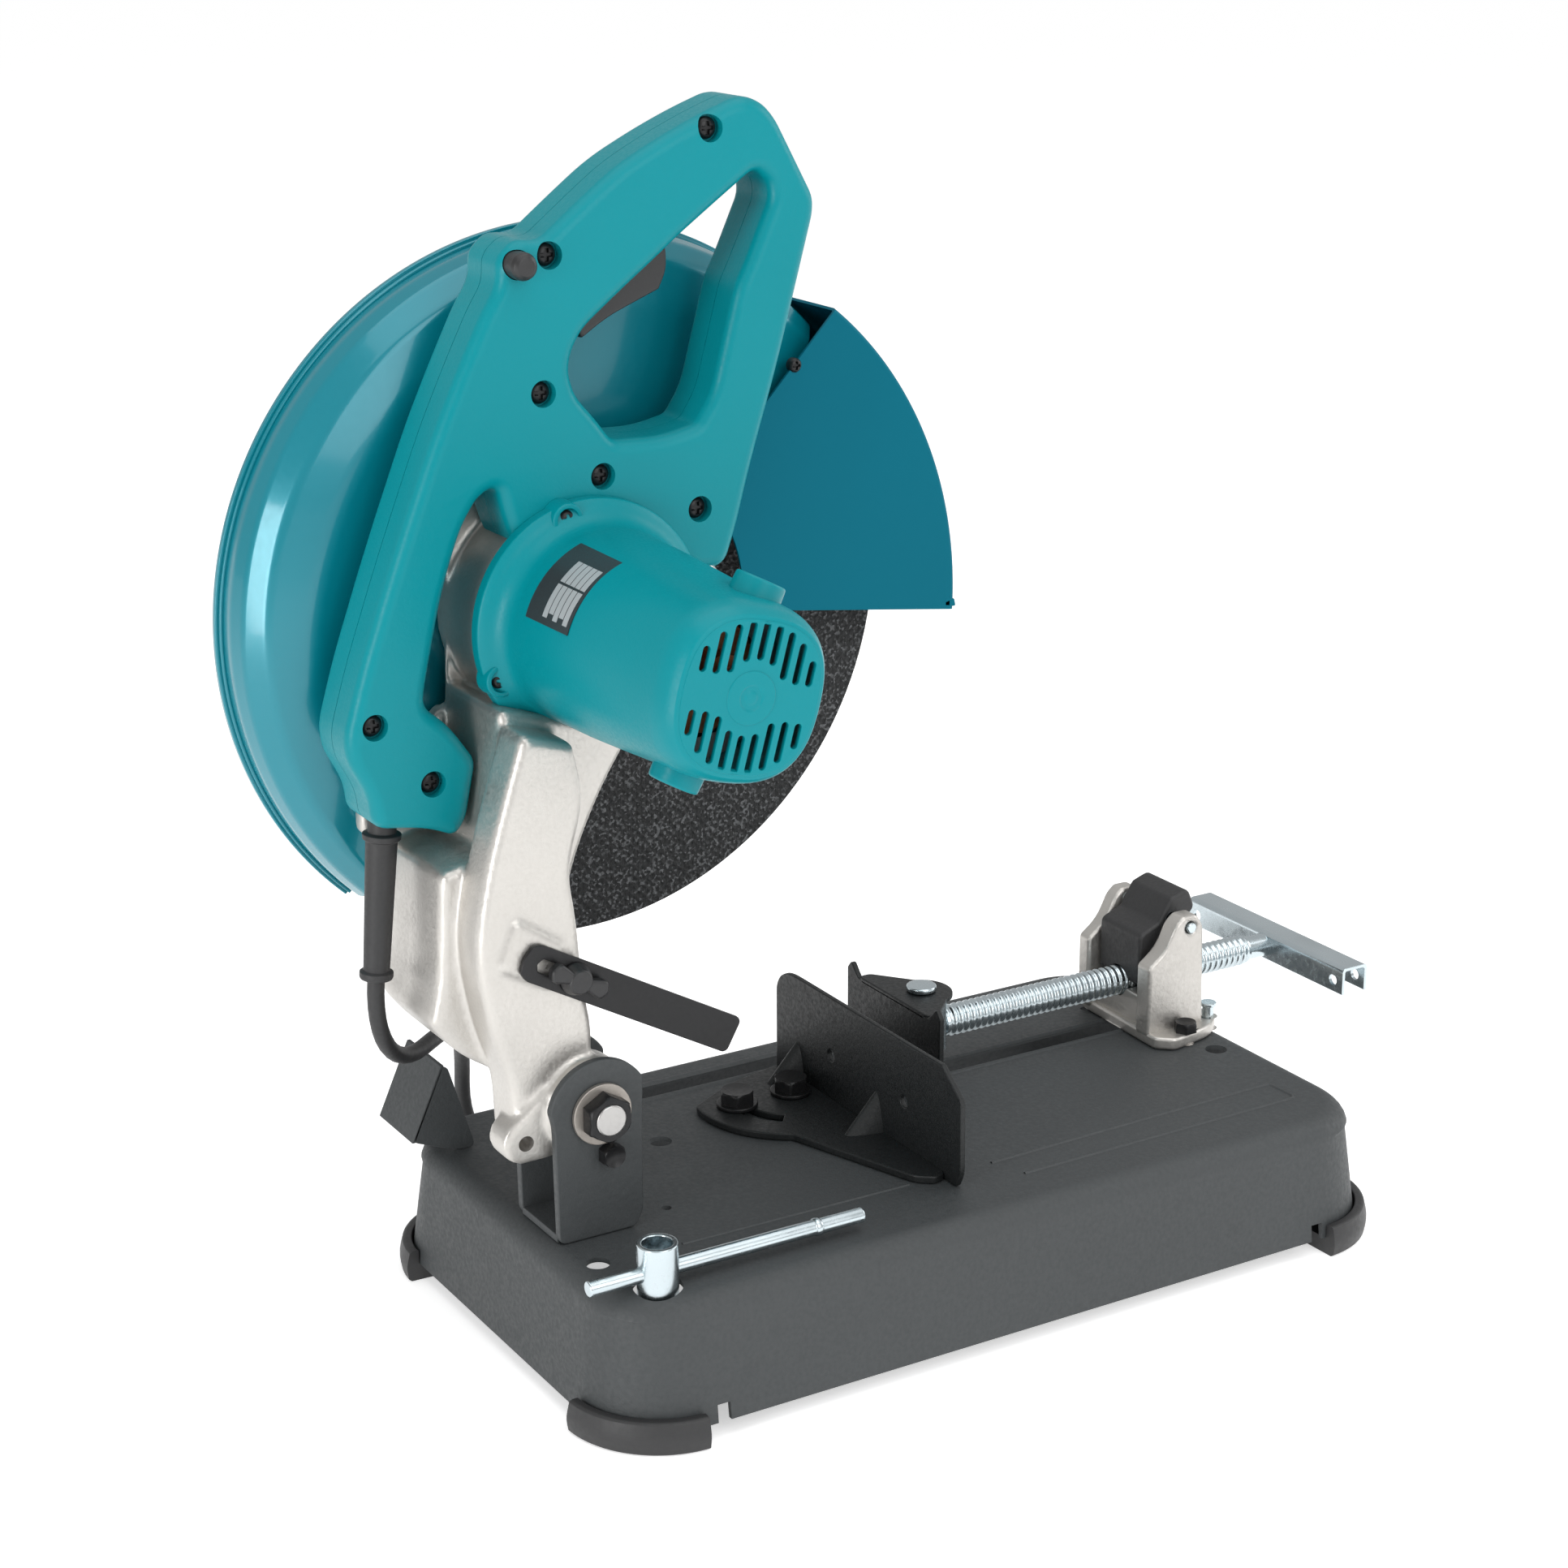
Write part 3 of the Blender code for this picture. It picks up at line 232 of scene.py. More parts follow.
def finish(name, colour, roughness, metallic=0.0, grain=600.0, clouds=14.0, bump=0.2, depth=0.3,
           vary=0.08, spread=0.06, coat=0.0, specular=0.5):
    """Colour and roughness drift with the clouds; the grain lifts the surface a little."""
    material, tree, shader = new_material(name, roughness, metallic)
    shader.inputs["Specular IOR Level"].default_value = specular
    if coat:
        shader.inputs["Coat Weight"].default_value = coat
        shader.inputs["Coat Roughness"].default_value = 0.08
    source = tree.nodes.new("ShaderNodeGroup")
    source.node_tree = cloud
    source.inputs["Grain Scale"].default_value = grain
    source.inputs["Cloud Scale"].default_value = clouds
    mix = tree.nodes.new("ShaderNodeMix")
    mix.data_type = "RGBA"
    mix.inputs[6].default_value = (*(c * (1 - vary) for c in colour), 1.0)
    mix.inputs[7].default_value = (*(c * (1 + vary) for c in colour), 1.0)
    tree.links.new(source.outputs["Cloud"], mix.inputs[0])
    tree.links.new(mix.outputs[2], shader.inputs["Base Color"])
    dull = tree.nodes.new("ShaderNodeMapRange")
    dull.inputs["From Min"].default_value = 0.3
    dull.inputs["From Max"].default_value = 0.7
    dull.inputs["To Min"].default_value = roughness - spread
    dull.inputs["To Max"].default_value = roughness + spread
    tree.links.new(source.outputs["Grain"], dull.inputs["Value"])
    tree.links.new(dull.outputs["Result"], shader.inputs["Roughness"])
    relief = tree.nodes.new("ShaderNodeBump")
    relief.inputs["Strength"].default_value = bump
    relief.inputs["Distance"].default_value = depth * 0.001
    tree.links.new(source.outputs["Grain"], relief.inputs["Height"])
    tree.links.new(relief.outputs["Normal"], shader.inputs["Normal"])
    return material


CORD_R = 4.25
COIL_AT = (108.0, -252.0)
rubber = finish("cord_rubber", (0.02, 0.02, 0.021), 0.55, grain=500.0, bump=0.15, vary=0.15)


def curve_through(a, b, c, d, steps):
    """Points of a cubic: the four corners weighted by the usual third powers of t and 1 - t."""
    t = np.linspace(0.0, 1.0, steps + 1)[1:, None]
    a, b, c, d = (np.array(p, float) for p in (a, b, c, d))
    return a * (1 - t) ** 3 + b * 3 * t * (1 - t) ** 2 + c * 3 * t * t * (1 - t) + d * t**3


def eased(angle, marks, values):
    """Steps between values at the marks along a smooth 3t^2 - 2t^3 ramp."""
    marks, values = np.array(marks, float), np.array(values, float)
    i = np.clip(np.searchsorted(marks, angle, side="right") - 1, 0, len(marks) - 2)
    t = np.clip((angle - marks[i]) / (marks[i + 1] - marks[i]), 0.0, 1.0)
    return values[i] + (values[i + 1] - values[i]) * t * t * (3 - 2 * t)


def tube(path, radius, sides=16, caps=True):
    """A circle carried along a path. Each ring stands square to the path; its first spoke is the
    last ring's, leaned over by the bend, so the tube never twists."""
    path = np.asarray(path, float)
    ahead = np.gradient(path, axis=0)
    ahead /= np.linalg.norm(ahead, axis=1)[:, None]
    spoke = np.cross(ahead[0], [0.3, 0.5, 0.81])
    spokes = []
    for way in ahead:
        spoke = spoke - way * np.dot(spoke, way)
        spoke = spoke / np.linalg.norm(spoke)
        spokes.append(spoke)
    spokes = np.array(spokes)
    side = np.cross(ahead, spokes)
    turn = np.linspace(0, 2 * np.pi, sides, endpoint=False)[None, :, None]
    size = np.broadcast_to(radius, len(path))[:, None, None]
    ring = np.cos(turn) * spokes[:, None] + np.sin(turn) * side[:, None]
    return surface(path[:, None] + ring * size, caps=caps)


SLEEVE_END = 196.0
cord_start = (-62.0, 143.3, SLEEVE_END - 0.3)
behind_arm = (-30.0, 106.0, 141.0)
beside_base = (70.0, 40.0, 70.0)
on_floor = (78.0, -20.0, 4.65)
coil_start = (44.65, -252.0, 4.65)
run = [np.array([cord_start])]
run.append(curve_through(cord_start, (-62, 146.3, 165), (-55, 134, 143), behind_arm, 12))
run.append(curve_through(behind_arm, (0, 73, 139), (62, 42, 110), beside_base, 16))
run.append(curve_through(beside_base, (77, 38, 35), (80, 20, 4.65), on_floor, 12))
run.append(curve_through(on_floor, (76, -65, 4.65), (44.65, -190, 4.65), coil_start, 16))
sweep = np.linspace(180.0, 2220.0, 290)[1:]
marks = [180, 360, 540, 720, 900, 1080, 1260, 1305, 1350, 1395, 1440, 1620, 1800, 1980, 2160, 2220]
radii = [63.35, 54.6, 54.6, 46.0, 46.0, 37.4, 37.4, 34.4, 33.8, 34.4, 37.4, 37.4, 46.0, 46.0, 54.6, 54.6]
heights = [4.65] * 7 + [5.9, 8.95, 12.0] + [13.25] * 6
coil_r = eased(sweep, marks, radii)
coil_z = eased(sweep, marks, heights)
coil_angle = np.radians(sweep)
coil = [COIL_AT[0] + coil_r * np.cos(coil_angle), COIL_AT[1] + coil_r * np.sin(coil_angle), coil_z]
run.append(np.stack(coil, -1))
tail = run[-1][-1]
run.append(curve_through(tail, tail + (-19, 11, 0), (103, -171, 8.65), (103, -144.8, 8.65), 10))
cord_path = np.concatenate(run)
cord = piece("mains_cord", None, ("cord_tube", "cord_coil"), [tube(cord_path, CORD_R)], rubber)


def fillet(outline, radius, steps=5, gentle=35.0):
    """Rounds each corner of a closed outline with the curve that starts and ends a tangent length
    along its two sides. Gentle turns use up to half of the shorter side, so they flow."""
    at = np.asarray(outline, float)
    back, on = np.roll(at, 1, 0) - at, np.roll(at, -1, 0) - at
    far_back, far_on = np.linalg.norm(back, axis=1), np.linalg.norm(on, axis=1)
    back, on = back / far_back[:, None], on / far_on[:, None]
    half = np.arccos(np.clip((back * on).sum(1), -1, 1)) / 2
    room = 0.49 * np.minimum(far_back, far_on)
    size = np.minimum(np.broadcast_to(radius, len(at)) / np.tan(np.clip(half, 0.05, 1.56)), room)
    size = np.where(np.degrees(np.pi - 2 * half) < gentle, room * (np.max(radius) > 0), size)
    t = np.linspace(0, 1, steps + 1)[None, :, None]
    first, last = (at + back * size[:, None])[:, None], (at + on * size[:, None])[:, None]
    arcs = first * (1 - t) ** 2 + at[:, None] * 2 * t * (1 - t) + last * t * t
    return arcs.reshape(-1, 2)


def revolve(profile, axis="X", centre=(0.0, 0.0), segments=64, start=0.0, sweep=360.0):
    """A closed (along, radius) profile turned about an axis: across the axis, each point goes to
    radius times the cosine and sine of the angle."""
    profile = np.asarray(profile, float)
    full = sweep >= 360.0
    angle = np.radians(start + sweep * np.arange(segments + (not full)) / segments)[:, None]
    along = np.broadcast_to(profile[:, 0], (len(angle), len(profile)))
    u = centre[0] + profile[:, 1] * np.cos(angle)
    v = centre[1] + profile[:, 1] * np.sin(angle)
    order = {"X": (along, u, v), "Y": (u, along, v), "Z": (u, v, along)}[axis]
    return surface(np.stack(order, -1), loop=full)


def turned(mesh, degrees, axis, point):
    """The mesh turned about a line through a point."""
    centre = Vector(point)
    spin = Matrix.Rotation(math.radians(degrees), 4, axis)
    mesh.transform(Matrix.Translation(centre) @ spin @ Matrix.Translation(-centre))
    return mesh


top = AXLE_Z - 80
sleeve = [(SLEEVE_END, 4.4), (SLEEVE_END, 7.6), (SLEEVE_END + 1, 8.2), (SLEEVE_END + 3.6, 8.2)]
sleeve += [(SLEEVE_END + 4.6, 6.4), (top - 7, 7.7), (top - 6, 9.2), (top - 3.4, 9.4), (top - 2.6, 6.9)]
sleeve += [(top + 19, 6.9), (top + 19, 4.4)]
relief = turned(revolve(fillet(sleeve, 0.6), "Z", (-62, 136.5), 40), 5, "X", (-62, 136.5, AXLE_Z - 80))
piece("cord_sleeve", "head", ("cord_relief",), [relief], rubber)

PLUG_X = 103.0
plug_y = -145.0
plug_side = np.linspace(0, 34, 18)
plug_wide = 15 - 7.0 * np.clip((8 - plug_side) / 8, 0, 1) ** 1.6
plug_tall = 8.25 - 2.2 * np.clip((8 - plug_side) / 8, 0, 1) ** 1.6
turn_u = np.linspace(0, 2 * np.pi, 40, endpoint=False)
oval_u = np.sign(np.cos(turn_u)) * np.abs(np.cos(turn_u)) ** 0.55
oval_v = np.sign(np.sin(turn_u)) * np.abs(np.sin(turn_u)) ** 0.55
plug_grid = np.stack([PLUG_X + plug_wide[:, None] * oval_u,
                      np.broadcast_to((plug_y + plug_side)[:, None], (18, 40)),
                      8.65 + plug_tall[:, None] * oval_v], -1)
pins = [revolve(fillet([(plug_y + 30, 0), (plug_y + 30, 2.4), (plug_y + 52, 2.4), (plug_y + 52, 0)], 0.8),
                "Y", (PLUG_X + x, 8.6), 20) for x in (-9.5, 9.5)]
plug = piece("mains_plug", "base", ("cord_plug",), [surface(plug_grid), *pins], rubber)
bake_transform(cord)


# ---- Pressed steel base
# One deep-drawn tray of 2.5 mm sheet with sloped sides and a rolled top edge, powder coated
# dark grey. The deck is pierced for the wheel, the vise and the bolts; stiffening lines and
# the wheel slot's turned lip are pressed in.
charcoal = finish("charcoal_powder_coat", (0.040, 0.0445, 0.0465), 0.60, grain=420.0, clouds=9.0,
                  bump=0.45, depth=0.5, vary=0.10, spread=0.10)
black_coat = finish("black_powder_coat", (0.011, 0.0125, 0.013), 0.45, grain=500.0, clouds=12.0,
                    bump=0.30, depth=0.4, vary=0.15, spread=0.10, specular=0.35)
DECK = 72.3
BASE_X, BASE_Y, CORNER = (-227.0, 39.0), (-362.0, 102.0), 45.0


def rounded_box(x, y, radius, steps=12):
    """A rectangle whose corners are quarter circles, counter-clockwise."""
    angle = np.radians(np.concatenate([np.linspace(a, a + 90, steps + 1) for a in (0, 90, 180, 270)]))
    cx = np.repeat([x[1] - radius, x[0] + radius, x[0] + radius, x[1] - radius], steps + 1)
    cy = np.repeat([y[1] - radius, y[1] - radius, y[0] + radius, y[0] + radius], steps + 1)
    return np.stack([cx + radius * np.cos(angle), cy + radius * np.sin(angle)], -1)


def as_object(mesh):
    obj = bpy.data.objects.new("work", mesh)
    bpy.context.scene.collection.objects.link(obj)
    return obj


def carve(mesh, tools):
    """The mesh with the tools' shapes taken away."""
    body, tool = as_object(mesh), as_object(gather(tools))
    step = body.modifiers.new("carve", "BOOLEAN")
    step.solver, step.object, step.use_self = "EXACT", tool, len(tools) > 1
    result = bpy.data.meshes.new_from_object(body.evaluated_get(bpy.context.evaluated_depsgraph_get()))
    for obj in (body, tool):
        bpy.data.objects.remove(obj, do_unlink=True)
    return result


def plate(outline, low, high, edge=0.6, axis="X", holes=(), steps=2):
    """A flat part: the outline filled between two levels, its rim turned over with a quarter
    round of the edge's size. The outline holds (y, z) for X, (z, x) for Y and (x, y) for Z."""
    curve = bpy.data.curves.new("outline", "CURVE")
    curve.dimensions, curve.fill_mode = "2D", "BOTH"
    curve.extrude = (high - low) / 2 - edge
    curve.bevel_depth, curve.bevel_resolution, curve.offset = edge, steps, -edge
    for ring in (outline, *holes):
        spline = curve.splines.new("POLY")
        spline.points.add(len(ring) - 1)
        spline.points.foreach_set("co", np.pad(np.asarray(ring, float), ((0, 0), (0, 2))).ravel())
        spline.use_cyclic_u = True
    obj = as_object(curve)
    mesh = bpy.data.meshes.new_from_object(obj.evaluated_get(bpy.context.evaluated_depsgraph_get()))
    bpy.data.objects.remove(obj, do_unlink=True)
    at = np.empty(len(mesh.vertices) * 3)
    mesh.vertices.foreach_get("co", at)
    at = np.roll(at.reshape(-1, 3) + [0, 0, (low + high) / 2], {"X": 1, "Y": 2, "Z": 0}[axis], axis=1)
    mesh.vertices.foreach_set("co", at.ravel())
    bm = bmesh.new()
    bm.from_mesh(mesh)
    bmesh.ops.remove_doubles(bm, verts=bm.verts, dist=0.002)
    bmesh.ops.recalc_face_normals(bm, faces=bm.faces)
    bm.to_mesh(mesh)
    bm.free()
    return mesh


def circle(centre, radius, steps=28, start=0.0, sweep=360.0):
    angle = np.radians(start + sweep * np.arange(steps + (sweep < 360)) / steps)
    return np.stack([centre[0] + radius * np.cos(angle), centre[1] + radius * np.sin(angle)], -1)


def peg(low, high, radius, axis, centre, segments=32, edge=0.0):
    """A solid round, with its rims eased."""
    profile = [(low, 0), (low, radius), (high, radius), (high, 0)]
    if edge:
        profile = fillet(profile, [0, edge, edge, 0], 3, gentle=0)
    return revolve(profile, axis, centre, segments)


wall = [(0.0, 9.0, 0.0), (0.7, 16.0, 0.4), (6.0, DECK - 12, 3.0)]
roll = np.radians(np.linspace(0, 90, 9)[1:])
wall += [(6 + 12 * (1 - np.cos(a)), DECK - 12 + 12 * np.sin(a), 3 + (6 + 12 * (1 - np.cos(a))) / 2)
         for a in roll]
rings = []
for inset, z, shrink in wall:
    edge_line = rounded_box((BASE_X[0] + inset, BASE_X[1] - inset), (BASE_Y[0] + inset, BASE_Y[1] - inset),
                            CORNER - shrink)
    rings.append(np.column_stack([edge_line, np.full(len(edge_line), z)]))
for inset, z, shrink in reversed(wall):
    inset, shrink = inset + 2.5, shrink + 2.5
    edge_line = rounded_box((BASE_X[0] + inset, BASE_X[1] - inset), (BASE_Y[0] + inset, BASE_Y[1] - inset),
                            CORNER - shrink)
    rings.append(np.column_stack([edge_line, np.full(len(edge_line), z - 2.5 if z > 9 else z)]))
rings = np.array(rings)
count = len(wall)
outer, inner = surface(rings[:count], caps=False), surface(rings[count:], caps=False)
rim = surface(rings[[2 * count - 1, 0]], caps=False)
lids = bpy.data.meshes.new("lids")
lids.from_pydata(np.concatenate([rings[count - 1], rings[count]]), [],
                 [list(range(len(rings[0]))), list(range(len(rings[0]), 2 * len(rings[0])))[::-1]])
tray = bmesh.new()
for part in (outer, inner, rim, lids):
    tray.from_mesh(part)
bmesh.ops.remove_doubles(tray, verts=tray.verts, dist=0.001)
bmesh.ops.recalc_face_normals(tray, faces=tray.faces)
tray_mesh = bpy.data.meshes.new("tray")
tray.to_mesh(tray_mesh)
tray.free()

WHEEL_SLOT = rounded_box((-9, 9), (-305, -22), 8.9, 8)
VISE_SLOT = rounded_box((-64, -46), (-318, -128), 8.9, 8)
openings = [plate(outline, 60, 90, 0.01, "Z") for outline in (WHEEL_SLOT, VISE_SLOT)]
for centre, radius in (((-58.5, -12.0), 6.0), ((-163.7, 80.0), 6.0), ((-113.1, -333.1), 6.0),
                       ((-199.0, 67.0), 12.0), ((-128.4, 23.2), 2.5), ((-27.2, -306.4), 2.5)):
    openings.append(peg(55, 90, radius, "Z", centre, 36))
for x0, y0 in ((-240, 44), (-240, -316), (30, 44), (30, -316)):
    openings.append(plate([(x0, y0), (x0 + 24, y0), (x0 + 24, y0 + 7), (x0, y0 + 7)], -2, 18, 0.2, "Z"))
tray_mesh = carve(tray_mesh, openings)


def bead(points, height, width, closed=False):
    """A low half-round rib along a line of (x, y) on the deck: it rises as half a sine."""
    line = np.asarray(points, float)
    ahead = np.gradient(line, axis=0) if not closed else np.roll(line, -1, 0) - np.roll(line, 1, 0)
    ahead /= np.linalg.norm(ahead, axis=1)[:, None]
    side = np.stack([-ahead[:, 1], ahead[:, 0]], -1)
    t = np.linspace(-1, 1, 7)
    flat = line[:, None] + side[:, None] * (t * width)[None, :, None]
    rise = np.broadcast_to(DECK - 0.05 + height * np.cos(t * np.pi / 2), flat.shape[:2])[..., None]
    return surface(np.concatenate([flat, rise], -1), around=False, loop=closed)


def run_of(points, radius=4.0, steps=6):
    """A line with its inner corners eased."""
    line = fillet(points, [0] + [radius] * (len(points) - 2) + [0], steps, gentle=0)
    keep = np.ones(len(line), bool)
    keep[1:][np.linalg.norm(np.diff(line, axis=0), axis=1) < 1e-6] = False
    return line[keep]


lines = [bead(run_of([(-169.5, -142.7), (-165.3, -327), (-186.6, -328.1), (-188.5, -150)]), 0.8, 1.1),
         bead(run_of([(-167, 36), (-169, -93)]), 0.7, 1.0),
         bead(WHEEL_SLOT[np.linalg.norm(WHEEL_SLOT - np.roll(WHEEL_SLOT, 1, 0), axis=1) > 1e-6], 1.3, 2.4,
              True),
         bead(VISE_SLOT[np.linalg.norm(VISE_SLOT - np.roll(VISE_SLOT, 1, 0), axis=1) > 1e-6], 1.0, 2.0, True)]
base = piece("base_tray", "base", ("base_shell",), [tray_mesh, *lines], charcoal, 32)

# ---- Rubber corner feet
# Moulded black rubber shoes pressed over the tray's corners: a sole under the rim and a lip
# that wraps outside it.
foot_rubber = finish("foot_rubber", (0.022, 0.022, 0.023), 0.5, grain=350.0, bump=0.25, vary=0.15)
shoe = [(0.3, 26), (0, 28), (0, 49.6), (1.2, 51.2), (8, 52.4), (16, 50.4), (16.9, 49), (16.9, CORNER + 0.3),
        (8.7, CORNER + 0.3), (8.7, 26)]
for name, cx, cy, first in (("rear_near", BASE_X[0] + CORNER, BASE_Y[1] - CORNER, 90),
                            ("rear_far", BASE_X[1] - CORNER, BASE_Y[1] - CORNER, 0),
                            ("front_near", BASE_X[0] + CORNER, BASE_Y[0] + CORNER, 180),
                            ("front_far", BASE_X[1] - CORNER, BASE_Y[0] + CORNER, 270)):
    sector = revolve(fillet(shoe, 1.0, 3), "Z", (cx, cy), 36, first + 2, 86)
    piece("shoe_" + name, "base", ("foot_" + name,), [sector], foot_rubber)

# ---- Hinge bracket
# A folded U of 4.5 mm plate welded to the deck, black powder coated on the saw though drawn with the deck's
# charcoal coat, with the hinge bolt, its washer and nut, and the small hex screw that stops the arm.
HINGE = (64.0, 137.0)
zinc = finish("zinc_plate", (0.55, 0.62, 0.65), 0.24, metallic=1.0, grain=260.0, clouds=26.0, bump=0.015,
              vary=0.16, spread=0.05)
steel = finish("ground_steel", (0.46, 0.45, 0.44), 0.34, metallic=1.0, grain=700.0, bump=0.1, vary=0.10)
black_bolt = finish("black_oxide", (0.013, 0.013, 0.014), 0.38, metallic=0.4, grain=500.0, bump=0.15,
                    vary=0.2)
warm_washer = finish("dull_washer", (0.36, 0.33, 0.30), 0.45, metallic=0.8, grain=600.0, bump=0.15)
cheek = [(87.5, DECK + 0.3), (88.5, HINGE[1] - 3)] + list(map(tuple, circle(HINGE, 27, 20, 10, 140)))
cheek += [(41.5, 118), (41.5, 80), (46, DECK + 0.3)]
cheek = fillet(cheek, 5, 4)
cheeks = [plate(cheek, low, high, 0.9, "X", [circle(HINGE, 8.3)])
          for low, high in ((-139, -134.5), (-99, -94.5))]
web_floor = plate([(-135.5, 46), (-98, 46), (-98, 87), (-135.5, 87)], DECK + 0.3, DECK + 4.3, 0.6, "Z")
piece("hinge_cheeks", "base", ("hinge_bracket",), [*cheeks, web_floor], charcoal)


def hex_head(low, high, across, axis, centre, cup=0.0):
    """A hexagon head: its flats cut a chamfered cone. Radius at an angle is the lesser of the
    hexagon's and the chamfer's; a shallow cup marks the outer face."""
    angle = np.linspace(0, 2 * np.pi, 72, endpoint=False)
    flat = across * np.cos(np.pi / 6) / np.cos((angle + np.pi / 6) % (np.pi / 3) - np.pi / 6)
    inner = across * 0.86
    step = 1.0 if high > low else -1.0
    rows = [(low, 0 * flat), (low, flat), (high - 1.6 * step, flat),
            (high - 0.5 * step, np.minimum(flat, inner * 1.06)),
            (high, np.minimum(flat, inner)), (high - cup * step, np.minimum(flat, inner) * 0.62),
            (high - cup * step, 0 * flat)]
    along = np.array([r[0] for r in rows])[:, None] + 0 * angle
    radius = np.array([r[1] for r in rows])
    u, v = centre[0] + radius * np.cos(angle), centre[1] + radius * np.sin(angle)
    order = {"X": (along, u, v), "Y": (u, along, v), "Z": (u, v, along)}[axis]
    return surface(np.stack(order, -1), caps=False)


piece("hinge_pin", "base", ("hinge_bolt",),
      [peg(-151, -92, 8, "X", HINGE, 32, 1.2), peg(-92, -84.8, 12.4, "X", HINGE, 32, 1.5)], steel)
piece("hinge_ring", "base", ("hinge_washer",),
      [revolve(fillet([(-141.8, 8.3), (-141.8, 15.5), (-139.3, 15.5), (-139.3, 8.3)], 0.5, 3), "X", HINGE)],
      warm_washer)
piece("hinge_hex", "base", ("hinge_nut",), [hex_head(-142.1, -150.2, 12.4, "X", HINGE, 0.6)],
      black_bolt)
piece("arm_stop", "base", ("stop_bolt",),
      [hex_head(-139.3, -146, 6.4, "X", (HINGE[0] - 4, HINGE[1] - 21.5), 1.2)], black_bolt)


def finer(name, node, body, material, edge=0.5, angle=30.0):
    """A CAD part's own shape with every sharp edge broken by a small round."""
    mesh = frame["nodes"][node].data.copy()
    mesh.name = name
    bm = bmesh.new()
    bm.from_mesh(mesh)
    bmesh.ops.remove_doubles(bm, verts=bm.verts, dist=0.00002)
    bmesh.ops.dissolve_limit(bm, angle_limit=math.radians(1.0), verts=bm.verts, edges=bm.edges)
    bm.to_mesh(mesh)
    bm.free()
    mesh.materials.clear()
    mesh.materials.append(material)
    mesh.shade_smooth()
    mesh.set_sharp_from_angle(angle=math.radians(40))
    obj = bpy.data.objects.new(name, mesh)
    bpy.context.scene.collection.objects.link(obj)
    bevel = obj.modifiers.new("edges", "BEVEL")
    bevel.width, bevel.segments, bevel.limit_method = edge * 0.001, 2, "ANGLE"
    bevel.angle_limit = math.radians(angle)
    obj.modifiers.new("level", "WEIGHTED_NORMAL").keep_sharp = True
    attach(obj, body)
    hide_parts(node)
    return obj


finer("torsion_spring", "return_spring", "base", steel, 0.1, 70)

# ---- Spark plate
# A bent sheet behind the wheel: a sloping flap carried by two side cheeks on the deck.
flap = plate(fillet([(88, 121), (90, 121), (107.5, 82), (105.5, 82)], 0.4, 2), -14, 27, 0.4)
side = fillet([(72, DECK + 0.3), (83, DECK + 0.3), (107, 82.5), (89.5, 120.5), (86, 119)], 3, 4)
piece("spark_flap", "base", ("spark_plate",),
      [flap, plate(side, -14, -12, 0.4), plate(side, 25, 27, 0.4)], charcoal)

# ---- Swivelling guide
# Bent 3 mm plate: a tall face with turned top corners, a foot with an arc slot, and pressed
# gussets in the bend. Two flanged hex bolts clamp it to the deck.
PIVOT, LOCK = (-48.6, -96.8), (-48.6, -63.8)
face = [(DECK + 0.3, -10), (122, -10), (128, -13), (132.5, -20), (133.5, -28), (133.5, -170), (120, -187.5),
        (80, -188), (DECK + 0.3, -184)]
small_holes = [circle((101, x), 3.2, 20) for x in (-66, -136)]
guide_face = plate(fillet(face, 3, 4), -114, -111, 0.8, "Y", small_holes)
foot = [(-12, -111.5), (-20, -75)] + list(map(tuple, circle(PIVOT, 53, 14, 78, 72)))
foot += [(-170, -96), (-176, -104), (-174, -111.5)]
arc_slot = list(map(tuple, circle(PIVOT, 37.5, 14, 84, 58)))
arc_slot += list(map(tuple, circle(PIVOT, 28.5, 14, 142, -58)))
guide_foot = plate(fillet(foot, 4, 4), DECK + 0.3, DECK + 4.3, 0.8, "Z", [fillet(arc_slot, 4.4, 6)])
t = np.linspace(0, 1, 15)
s = np.linspace(-1, 1, 13)
gussets = []
for x in (-32, -110):
    swell = np.cos(s * np.pi / 2)[None, :] ** 0.8
    y = -111.2 + 19.5 * t[:, None] * swell
    z = DECK + 3.8 + 21 * (1 - t[:, None]) * swell
    gussets.append(surface(np.stack([np.broadcast_to(x + s * 7.5, y.shape), y, z], -1), around=False))
guide = piece("work_guide", "guide", ("guide_plate",), [guide_face, guide_foot, *gussets],
              black_coat)
for name, at in (("guide_pivot_bolt", PIVOT), ("guide_lock_bolt", LOCK)):
    top = DECK + 4.6
    collar = revolve(fillet([(60, 0), (60, 4), (top, 4), (top, 11), (top + 2, 11), (top + 2, 0)],
                            [0, 0, 0, .6, .6, 0], 3, 0),
                     "Z", at, 40)
    under = hex_head(69, 61, 8, "Z", at)
    piece(name + "_set", frame["nodes"][name]["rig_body"], (name,),
          [collar, hex_head(top + 1.5, top + 9, 9.8, "Z", at, 0.4), under], black_bolt)

# ---- Quick-release vise
# A sand-cast aluminium bracket straddles the screw. Its black cast lever is half a nut that
# drops on the thread and lifts about a zinc pin. The screw is bright zinc with a round
# thread, and turns in a block that carries the jaw; a folded channel is its handle.
cast = finish("cast_aluminium", (0.56, 0.54, 0.51), 0.42, metallic=0.85, grain=520.0, clouds=22.0,
              bump=0.35, depth=0.4, vary=0.09, spread=0.08)
SCREW = (-54.0, 99.0)
cheek = fillet([(-303, 76), (-303, 118), (-314, 126), (-321, 140), (-326, 144), (-335, 144), (-340, 137),
                (-342, 76)], 4, 4)
pin_hole = [circle((-331, 137), 3.3, 20)]
saddle = carve(plate(fillet([(-340, 76), (-308, 76), (-308, 96), (-340, 96)], 1.5, 3), -79, -33, 0.8),
               [peg(-360, -290, 9, "Y", SCREW)])
